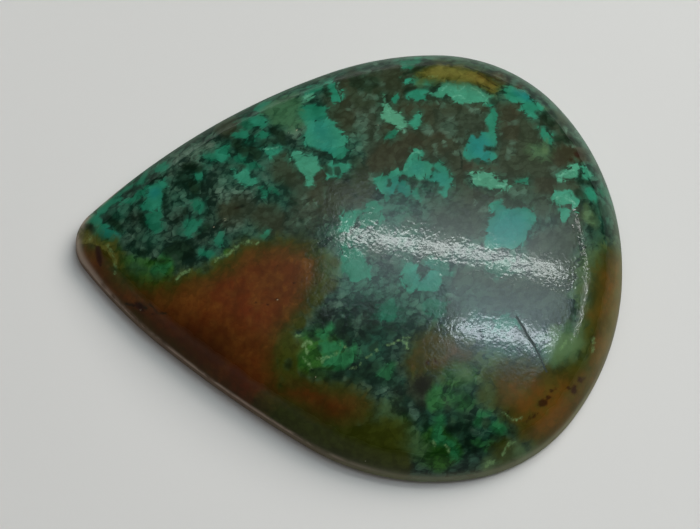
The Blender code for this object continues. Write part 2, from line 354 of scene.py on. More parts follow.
# %% Turquoise patches
TEAL_PATCHES = (  # how pale each patch is, and its outline
    (0.34, -201, 19, 6, -1, 4, -5, 4, -4, 3, -3, 5, -4, 6, -5, -2, -3, -5, -2, -7, 1, -6, 1, -2, 7, -2, 6,
     -4, 2, -4, 1),  # tip blade
    (0.25, -197, 21, 7, 9, 4, 2, 4, -5, -5, -5, -2, -6, -4, 1),  # tip rim
    (0.25, -185, 26, 3, 5, 6, 6, 6, 5, 5, 6, 4, 5, 2, -4, 0, -6, -4, -3, -5, -1, -5, -1, -4, -3, 0, -6, 3, -1,
     7, 2, 1, -4, -4, -2, -9, 3),  # rim strip
    (0.44, -157, 39, 4, 0, 4, 1, 3, 2, 3, -2, 1, -11, -1, -7, -1, -5, -8, -2, -6, 2, -3, 4, 3, 3, 4, 3,
     -2, 5),  # upright
    (0.22, -155, 15, 11, 0, 2, -14, -4, -2, -4, 1, -6, 7),  # upright foot
    (0.22, -167, 35, 3, 3, 4, 0, 3, -4, 1, -6, -5, 0, -3, -4, -3, 3, 1, 3),  # upright side
    (0.3, -155, 55, 7, 5, 4, 1, 1, -7, -7, -3),  # flank spot
    (0.32, -121, 48, 8, 1, 0, -7, -4, -2, -3, 3),  # flank spot b
    (0.32, -105, 67, 3, 3, 3, 3, 3, 1, 1, -5, 0, -6, -1, -5, -4, -1, -4, 0, 1, 5, -3, 3),  # upper flank
    (0.2, -115, 63, 5, 1, 3, -3, 0, -4, -5, -1, -3, 3),  # flank dim
    (0.3, -94, 80, 3, 3, 4, 2, 4, -3, 0, -5, -7, 0),  # flank knob
    (0.47, -84, 97, 4, 2, 5, 0, 4, -1, 3, -4, -1, -5, -3, -2, -5, 1, -3, 3, -3, 2),  # rim knob
    (0.16, -89, 100, 4, 2, 3, -6, 3, -7, -2, -4, -4, 1, -4, 5),  # rim knob halo
    (0.34, -82, 109, 4, 5, 6, 1, 4, -1, 0, -5, -4, -4, -5, -2, -4, 2),  # rim pale
    (0.25, -85, 75, 4, 0, 3, 1, 3, 0, -3, -3, -3, -4, -3, 2),  # between
    (0.3, -76, 78, 3, 3, 6, 3, 3, -2, -3, -3, -6, -2),  # between b
    (0.5, -74, 68, 4, 1, 6, 1, 3, 2, 3, 0, 4, -2, -1, -2, -4, -2, -3, -3, -2, -2, -3, 2, -2, 3),  # sliver
    (0.58, -92, 51, 4, -1, 3, -4, 3, 5, 3, -2, 2, -4, 4, -3, 0, -3, -4, -3, -5, 1, -4, 3, -4, 5),  # step
    (0.2, -92, 62, 6, 0, 4, 1, 3, -6, 5, -1, 4, -4, -2, -1, -6, -1, -3, 4, -5, 2, -4, 0),  # step dim
    (0.24, -118, 24, 6, 1, 2, -5, -1, -6, -4, -2, -2, 5),  # streak
    (0.25, -122, 9, 4, 2, 5, -4, -1, -3, -3, -4, -3, -5, -3, 4, 0, 5),  # streak low
    (0.2, -100, -10, 1, 6, 3, 3, 2, -5, 2, -4, -4, -2),  # low spot
    (0.3, -70, 35, 3, 2, 4, -3, 2, -5, -3, -2, -4, 1),  # low mint
    (0.2, -61, 36, 4, -1, 4, -4, -1, -4, -4, 2),  # low mint grey
    (0.42, -65, -4, 2, 4, 3, 0, 1, -4, -2, -3, -2, 0),  # star
    (0.26, -110, -15, 5, 0, 5, -1, 3, -4, -3, -2, -6, 0, -4, 2),  # vein side
    (0.66, -48, 66, 5, -1, 4, -1, 4, -1, 3, 2, 4, -2, 3, -3, -1, -5, 3, -2, -2, -3, -2, -2, -2, -4, -1, -5,
     -3, -1, -2, 6, -2, 3, -3, 4, -2, 4, -2, 3, -3, 3),  # tailed
    (0.46, -26, 131, 5, 2, 4, 0, 1, -7, 2, -4, 2, -4, -1, -5, -4, -2, -4, 2, 0, 6, -3, 4),  # crown
    (0.3, -43, 122, 3, 4, 6, 3, 8, 2, 1, -5, -5, -4, -6, -2, -4, -4),  # crown dim
    (0.75, -43, 117, 3, 5, 5, 0, 0, -5, -3, -5, -4, -1),  # crown mint
    (0.36, -45, 106, 5, 2, 7, 1, 7, -1, 3, -3, -1, -4, 2, -5, -9, -3, -7, 0, -5, 2, -3, 5),  # great top
    (0.58, -39, 93, 8, 2, 9, 1, 5, -2, 2, -4, 4, -4, 2, -3, 2, -2, 1, -4, -2, -5, -6, -2, -6, -1, -7, -1, -7, 2,
     -4, 4, 1, 6, 1, 6),  # great
    (0.4, -27, 69, 7, 1, 13, 2, 4, -3, -3, -5, -3, -4, -4, 0, -4, 4, -5, 3),  # great foot
    (0.55, -17, 57, 8, 3, 7, -4, 0, -4, -4, -3, -2, -3, -4, -2, -6, -1, -2, 3, 5, 5, -2, 3),  # below great
    (0.25, 22, 81, 3, 5, 5, 2, 1, -4, -4, -3),  # right of great
    (0.78, 19, 120, 3, 0, 1, -6, 1, -4, 3, -5, 5, -2, 4, -3, 2, -4, 0, -4, -4, -3, -3, 3, -4, 4, -4, 1, -3, 2,
     0, 6, -1, 6),  # diagonal
    (0.35, 25, 118, 5, 2, 1, -3, -3, -3, -2, 1),  # diagonal top
    (0.24, 32, 158, 10, 3, 8, 2, -3, -7, -5, -5, -3, -5, -4, 2, -3, 5),  # rim blue
    (0.58, 40, 97, 3, 3, 3, 3, 2, 2, 1, -4, 1, -6, -2, -2, -2, -2, -4, 3),  # triangle
    (0.45, 37, 118, 2, 5, 4, 3, 4, 2, 6, 0, 0, -6, 0, -4, -7, -2, -6, 1),  # long band left
    (0.66, 54, 125, 4, 2, 3, 2, 2, 4, 2, 4, 5, 1, 7, 1, 4, -1, 4, -2, 4, -1, 5, -1, 3, -3, 3, -2, 4, -2, -2, -4,
     -1, -3, -5, 0, -6, 0, -7, -1, -7, -1, -3, 1, -2, 3, -3, 2, -2, -4, -3, 0, -6, 0, -2, 1),  # long band
    (0.5, 33, 135, 5, 2, 9, 0, 8, 0, 8, 2, -2, -4, -4, -3, -10, -1, -9, 0),  # band above
    (0.46, 110, 133, 1, 5, 3, 1, 5, 1, 4, -2, 7, 1, 1, -5, 3, -4, 3, -2, 3, -3, 3, -3, -1, -3, -4, -2, 2, -5,
     -4, -2, -4, 1, -2, 2, -4, 4, 0, 4, 1, 3, -7, 0, -3, 2, -3, 4, -3, 2),  # shoulder
    (0.35, 101, 119, 3, 0, 1, -5, 2, -4, 1, -6, -1, -5, -1, -3, -3, -3, 0, 5, -2, 5, -1, 5, 2, 3),  # thin drop
    (0.43, 86, 87, 4, 2, 2, -2, 2, 0, 1, 4, 5, 1, 2, 0, 1, 2, 3, 3, 1, -4, 1, -5, 0, -4, -3, -3, -3, -1, -3, 1,
     0, -3, 6, -1, 0, -2, 2, -2, -1, -4, -3, 0, -2, -2, -4, 1, -3, -1, -3, 3, -3, -2, -3, 3, 0, 3, 1, 3,
     0, 5),  # square
    (0.72, 87, 54, 4, 3, 5, 1, 5, 1, 4, -2, 2, -3, 4, -1, 3, 0, 3, 0, 1, -4, -1, -4, -5, -1, -4, -1, -4, 1,
     -2, 2, -6, 0, -4, 1, -2, 1, -2, 3, -2, 1),  # fish
    (0.3, 121, 52, 4, 3, 5, 1, 4, 0, 0, -3, -6, -1, -6, -1),  # fish dim
    (0.36, 142, 102, 3, 3, 2, -5, 2, -3, 2, -4, 1, -5, -3, 0, -4, 3, -3, 4, -1, 4),  # right thin
    (0.58, 42, 66, 1, 3, 3, 2, 5, 1, 1, -3, -1, -3, 2, -2, 5, 0, 3, -3, -1, -5, -2, -4, -4, -2, -6, -1, -5, 0,
     -5, 1, -3, -2, -2, 5, 5, 3, 0, 4, 3, 2),  # heart
    (0.45, 18, 47, 5, 3, 5, 2, 8, -2, 0, -7, -2, -5, -3, -5, -2, -3, -2, -3, -2, 5, -5, 7, -3, 4),  # heart left
    (0.3, 36, 48, 6, 0, 1, -6, 3, -5, 4, 2, 2, -2, -1, -5, -5, 0, -5, -2, -4, 4, -4, 4, 1, 6),  # heart low
    (0.5, 54, 50, 5, 2, 2, 5, -1, 5, 4, 3, 4, -2, 4, -4, 1, -6, 1, -9, -3, -3, 1, -5, -3, -1, -3, 5, 1, 4,
     -4, 3, -4, -1, -3, 1),  # heart right
    (0.5, -5, 18, 5, 2, 5, -2, 1, -6, -1, -7, -4, -1, -4, -1, -4, 2, 0, 6),  # lit mint
    (0.3, 5, 18, 6, 1, 4, 7, 4, 3, 2, -4, 2, -4, 3, -6, -4, -5, -5, -2, -4, -2, -6, -1, -1, 7),  # lit mint b
    (0.35, -4, -9, 12, -2, 5, -6, 5, -6, 0, -10, -13, -2, -6, 7, -4, 9),  # under strip
    (0.42, 41, -27, 2, 6, 5, 3, 4, -3, 1, -7, 1, -3, 4, 3, 5, 3, 5, 0, 3, -5, -1, -7, -3, -4, -8, 0, -7, 0,
     -6, 1, -5, 4),  # middle light
    (0.2, 60, -14, 9, -1, 8, -6, 1, -6, -6, -2, -4, 6, -8, 1),  # middle light b
    (0.34, 105, 32, 7, 3, 6, -4, 9, 3, 8, -1, 3, -5, 3, -6, -6, -7, 0, -5, -4, -5, -1, -5, -11, -1, -15, -1,
     -3, 7, 2, 9, -1, 5, 5, 6),  # big right
    (0.7, 154, 62, 3, 3, 5, 4, 5, 3, 4, 3, 1, -3, 1, -9, -3, -2, -6, -2, -7, 0),  # right rim
    (0.62, 175, 74, 5, 2, 2, -3, 3, -4, -4, -4, -5, -1, -1, 5),  # right rim b
    (0.6, 152, 41, 2, 5, 4, 2, 4, 2, 4, -1, 2, -4, 5, 0, 0, -4, -1, -6, -4, 2, -3, 3, -3, -2, -4, -2,
     -3, 1),  # right mint
    (0.5, 156, 36, 4, 1, 3, -2, 2, -4, -3, -5, -3, 0, -3, 5, -1, 3),  # right mint b
    (0.4, 177, 56, 6, 2, 2, -2, -2, -7, 3, -1, -3, -4, -4, 2),  # right dim
    (0.15, 188, 57, 5, 7, 4, -3, 0, -6, -6, -3),  # right dim b
    (0.2, 22, -53, 5, 2, 5, 2, 6, 0, 2, -6, -1, -8, -6, -2, -6, 1, -4, 2, -1, 4),  # centre grey
    (0.12, 103, -14, 9, 4, 11, -2, -2, -8, -9, -4, -7, 3),  # low right grey
    (0.2, 109, -56, 8, 5, 9, -2, 3, -7, -7, -6, -9, 2),  # lit right
    (0.14, 59, -47, 10, 3, 7, -3, -1, -8, -7, -3, -7, 3),  # low middle
)
mark_patches("teal", TEAL_PATCHES, softness=0.9)

# %% [markdown]
# ### Green patches
# Green copper minerals, crisp like the turquoise but darker and leafier. They are walked in the same way,
# and the tone says how blue and how strong a patch is.

# %% Green patches
GREEN_PATCHES = (  # how blue each patch is, and its outline
    (0.1, -156, -24, 6, 3, 5, -3, -2, -5, -7, 0),  # tip chip a
    (0.1, -158, -30, 7, 1, 5, -3, 4, -5, -6, -2, -7, 2),  # tip chip b
    (0.2, -166, -21, 4, 2, 3, -3, -4, -3, -4, 1),  # tip chip c
    (0.25, -140, -20, 4, 2, 3, -4, -4, -3),  # tip chip d
    (0.5, -20, -76, 4, 3, 5, 2, 3, 2, 1, 1, 2, -3, -3, -3, 0, -4, -5, -3, -3, 1, -3, 2),  # leaf top
    (0.7, -16, -82, 6, 1, 3, -1, 5, 1, 4, 1, 2, -3, 1, -4, -3, -1, -5, 0, -4, -2, -4, -1, -5, 2, 0, 3),  # leaf
    (0.55, -11, -90, 5, 2, 6, -1, 6, 2, 3, 5, 3, 0, 1, -4, 0, -5, -3, -4, -4, -3, -4, -3, -3, -3, -4, 0, -1, 5,
     -5, 0, -4, 4, 2, 3),  # leaf low
    (0.12, -33, -77, 6, 3, 5, -6, 5, -3, 1, -6, 3, -6, -3, -5, -8, -1, -7, 0, -3, 5, 4, 6, 1, 7),  # leaf left
    (0.35, 28, -104, 3, 4, 4, 3, 1, 4, 4, 1, 1, -4, -2, -4, -1, -3, -2, -4, -2, 1, -2, 2, -2, -1),  # leaf small
    (0.22, 67, -111, 2, 3, 5, 0, 4, -3, 1, -4, -2, -3, 2, -4, -3, -3, -6, -1, -5, 2, -1, 5, 1, 4),  # tall top
    (0.2, 78, -110, 8, 1, 5, -1, 7, -4, 1, -5, -2, -5, -6, -1, -5, 2, -5, 2, -2, 5),  # tall side
    (0.55, 72, -128, 4, 2, 3, -3, -1, -6, 0, -5, 3, -4, 4, -1, 5, -4, 4, -5, -4, -4, -7, 3, -2, 4, -5, 1, -4, 0,
     -2, 4, -1, 5, 1, 4, 2, 4),  # tall
    (0.5, 101, -128, 2, 4, 5, 1, 5, 0, -2, -3, -4, -2, -1, -3, -1, -4, -4, -1, -2, 4),  # bit a
    (0.5, 111, -133, 4, 3, 4, 2, 4, -2, 2, -4, -1, -4, -3, -2, -5, 2, -4, 2),  # bit b
    (0.22, 99, -144, 6, 1, 4, -3, 2, -3, -5, 0, -4, 2),  # bit c
    (0.22, 110, -143, 5, 1, 2, -2, -4, -2),  # bit d
    (0.4, -147, -29, 6, 3, 7, 1, 4, -1, -2, -4, -1, -4, -6, -3, -6, 1, -5, 3),  # tip green
)
mark_patches("green", GREEN_PATCHES, softness=0.7)

# %% [markdown]
# ### Brown rock and its borders
# Iron-stained host rock, in a few large zones whose edges melt into olive. The same outlines serve, with a
# larger softness. Umber is the grey brown ground between the upper patches, and moss the soft green by the
# rock.

# %% Brown rock
ROCK_ZONES = (  # how amber each brown zone is
    (0.15, -211, -9, 9, 0, 7, -1, 5, -1, 5, -2, 3, -2, 4, -8, 2, -7, 7, -7, 13, -4, 14, -2, 10, 0, 10, 5, 11, 3,
     9, 1, 8, 5, 9, 5, 5, 7, 4, 4, 11, 1, 9, 2, 10, 0, 11, -1, 7, -2, 7, -9, 1, -11, -3, -9, -3, -9, -4, -9,
     -6, -8, -8, -9, -3, -9, 0, -10, 2, -10, 2, -8, 3, -4, -5, -6, -6, -6, -5, -8, -25, 14, -23, 15, -29, 20,
     -20, 16, -25, 21, -21, 19, -14, 12),  # main
    (0.1, -45, -114, 9, 4, 11, -1, 12, -4, 18, -2, 13, -4, 6, -6, -5, -7, -13, -5, -14, 1, -15, 6, -13, 6,
     -10, 6),  # second
    (0.93, 52, -89, 4, 5, 4, 8, 9, 4, 10, -3, 9, -3, 6, -4, -2, -5, -8, 0, -5, -4, -6, -2, -2, -3, -7, -1,
     -5, -1, -6, 1, -2, 4),  # middle
    (0.9, 117, -99, 6, 7, 7, 2, 8, 2, 9, -3, 10, -2, 11, 4, 12, 3, 8, 5, 3, -6, -7, -15, -12, -19, -9, -13,
     -13, -4, -13, 3, -3, 8, -9, 4, -6, 8, -3, 9),  # amber
    (0.8, 194, 1, 5, 7, 8, -1, 6, -7, 0, -18, -4, -22, -5, -20, -7, -22, -8, -17, -8, 4, 4, 13, 2, 16, -1, 14,
     -1, 15, 1, 13, 4, 13),  # right band
    (1.1, -209, -4, 3, 4, 5, 2, 5, -6, 6, -4, 8, -3, 6, -7, 4, -7, -3, -2, -6, 7, -8, 8, -8, 5,
     -7, -1),  # tip olive
    # tone above 1 gives a paler olive: here partly the band's own mustard olive, partly painted highlight from
    # the light on the top rim
    (1.2, 51, 146, 4, 3, 7, 4, 8, -1, 8, -1, 5, -2, 8, -2, 6, -3, 7, -5, 3, -3, -4, -2, -6, 2, -7, 3, -5, 2,
     -7, 0, -8, -1, -7, 0, -8, 1, -5, 1),  # olive band
)
mark_patches("rock", ROCK_ZONES, softness=1.9)

# %% Umber ground
UMBER_ZONES = (  # how red each grey brown zone is
    (0.9, 154, 85, 8, 4, 10, 3, 5, -3, 3, -7, -7, -5, -9, -4, -8, -3, -4, 5, -1, 5),  # over the right rim spot
    (0.6, 33, 115, 9, 0, 12, 1, 14, 1, 11, -1, 11, 1, 9, 1, 0, -5, -8, 1, -7, 1, -9, -3, -7, -2, -11, 4, -5, -7,
     -3, -1, -5, -4, -7, 1, -7, 5),  # below the long band
    (0.8, 24, 94, 7, -5, 8, -2, 10, 0, 9, -2, 10, 3, 1, -5, -7, -1, -3, -7, -6, -1, -9, -2, -3, -7, -4, -4,
     -5, -5, -8, -3, -9, 0, -4, 6, 3, 6, 5, 7, 3, 6),  # left of the heart
    (0.5, 46, 90, 11, -5, 11, 1, 6, -3, -1, -8, -6, -3, -10, 1, -6, 2, -7, 1),  # column
    (0.5, 50, 114, 7, -2, 1, -10, -1, -8, -6, 1, -1, 8),  # right of the triangle
    (1, 82, 64, 6, 0, 8, 0, 7, 2, 3, -4, -4, -2, -8, 0, -7, -1, -5, 1),  # red stripe
    (0.35, 73, 83, 9, -6, 3, -10, -3, -10, 4, -7, 3, -6, 8, -1, 1, -5, -9, -4, -10, 0, -4, 10, 1, 14,
     -3, 10),  # grey column
    (0.9, 117, 122, 7, 2, 2, -4, 0, -7, -3, -4, -2, -2, -3, 5),  # right brown
    (0.7, 108, 120, 9, 2, 2, -10, 5, -5, 2, -11, -3, -9, -5, 1, -4, 1, -2, 9, -3, 7),  # right of the drop
    (0.2, 124, 109, 10, -3, 4, -5, 2, -10, -6, -5, 1, -10, 7, -4, 12, -2, -3, -9, -12, -3, -11, 0, -13, 4,
     -4, 10, 6, 11, 9, 6, 0, 11),  # olive field
    (0.6, 139, 58, 7, 2, 8, -3, 7, 1, 8, 0, 2, -3, -3, -5, -6, 1, -6, -4, -8, 1, -7, 0),  # brown under the rim
    (0.7, -28, 49, 5, 2, 6, -1, -3, -7, -4, -4, -1, -9, -4, -5, -1, 14),  # tail side
    (0.45, -22, 41, 17, 4, 4, -9, 4, -8, -7, -7, -3, -5, -9, -2, -8, 3, -3, 9, 1, 7),  # middle umber
    (0.3, -2, 56, 5, 5, 10, -12, -1, -13, 4, -6, -7, -6, -5, 4, -4, 8),  # middle umber b
    (0.5, -14, 134, 6, 0, 3, -13, -2, -9, 3, -9, 2, -9, -4, -8, -4, 1, -5, 7, -5, 7, 0, 8, 8, 3,
     0, 9),  # upper grey brown
    (0.1, -8, 146, 10, -6, 9, 0, 8, -10, 0, -8, -5, -7, -7, -4, -8, -3, -4, 9, -4, 14),  # upper olive
    (0.3, 19, 145, 14, 5, 2, -11, -1, -12, 2, -9, -5, -9, -4, 3, -4, 9, -2, 9),  # rim left of the band
    (0.4, -108, 98, 7, 3, 11, -4, 3, -9, -3, -5, -6, -3, -7, 3, -6, 7),  # granular beige
    (0.25, -60, 61, 8, 4, 5, -6, 4, -8, -1, -10, -5, -4, -8, 5, -4, 10),  # olive slope
    (0.45, -97, 21, 11, 1, 2, -7, -6, -3, -6, 1),  # left middle
    (0.4, -71, 20, 14, 2, 8, -8, -1, -11, -4, -6, -10, 1, -7, 9),  # low middle
    (0.2, 52, -102, 10, 2, 4, -7, -2, -8, -2, -7, -5, 4, -5, 5),  # dusk corner
)
mark_patches("umber", UMBER_ZONES, softness=1.0)

# %% Moss green
MOSS_ZONES = (  # how olive each soft green zone is
    (0.5, 189, 10, 10, 2, 0, -8, -4, -9, -5, -8, -5, -14, 3, -28, -10, 1, -6, 11, -2, 18, 4, 19,
     7, 11),  # right slope
    (0.25, 150, -68, 7, 8, 9, 5, 7, -5, 2, -9, -3, -10, -9, -8, -9, 2, -5, 8),  # lit slope
    (0.95, 174, -55, 7, 4, 4, -8, 1, -11, -3, -9, -9, -8, -8, -1, 7, 10, 3, 10),  # lit slope edge
    (0.15, -168, -23, 7, 2, 10, -3, 4, -5, 9, -3, -1, -6, -9, -1, -10, 3, -8, 5),  # tip chips
    (0.1, 74, -95, 4, 4, 6, 4, 5, 1, 6, -2, 5, -5, 1, -7, -2, -6, -3, -3, -6, 4, -5, 1, -6, 1,
     -4, 2),  # below the strip
    (0.65, 95, -86, 7, 3, 9, -1, 6, -3, -4, -8, 0, -9, 4, -9, -3, -9, -6, -1, -5, 8, -2, 10,
     0, 10),  # towards the amber
    (0.35, 34, -122, 8, 2, 4, -11, 8, -6, 7, -6, 8, -7, -1, -7, -14, -3, -15, 2, -11, 9, 1, 14),  # low slope
    (0, -73, 103, 5, 8, 6, 3, 6, 4, 8, 1, 3, -4, 2, -26, -6, -4, -6, 2, -6, 3, -6, 7),  # left of the upper rim
    (0.3, 135, 85, 5, 3, 5, 1, 4, -3, 2, -4, -2, -6, -6, -1, -4, 1, -4, 4),  # under the right rim
    (0.5, -30, -15, 8, 3, 9, -4, 4, -10, 1, -11, -6, -6, -6, 2, -1, 14, -5, 7),  # right of the lobe
    (0.5, -181, -11, 5, 2, 4, -10, 4, -7, 7, -5, -2, -4, -6, 1, -6, 7, -3, 9),  # tip fringe
    (0.6, -131, -41, 6, 5, 9, 7, 4, -2, -7, -9, -7, -7, -6, 0),  # lobe fringe
    (0.4, -99, -25, 8, 4, 7, 4, 4, 2, -4, -8, -7, -5, -6, -3),  # vein fringe
    (0.7, -48, -78, 8, 5, 7, -5, 2, -11, -4, -8, -4, -7, -6, -4, -3, 8, -1, 12),  # leaf fringe
    (0.6, 171, -58, 7, 10, 5, -8, -1, -12, -5, -10, -8, -7, -8, 3, 4, 11),  # right edge
)
mark_patches("moss", MOSS_ZONES, softness=1.2)

# %% [markdown]
# ### Dark splinters and pale flecks
# The broken rock shows as shards: nearly black ones that cut into the patches, and pale grey green flecks.
# They are small and many, so they are walked too, each with only a few corners.

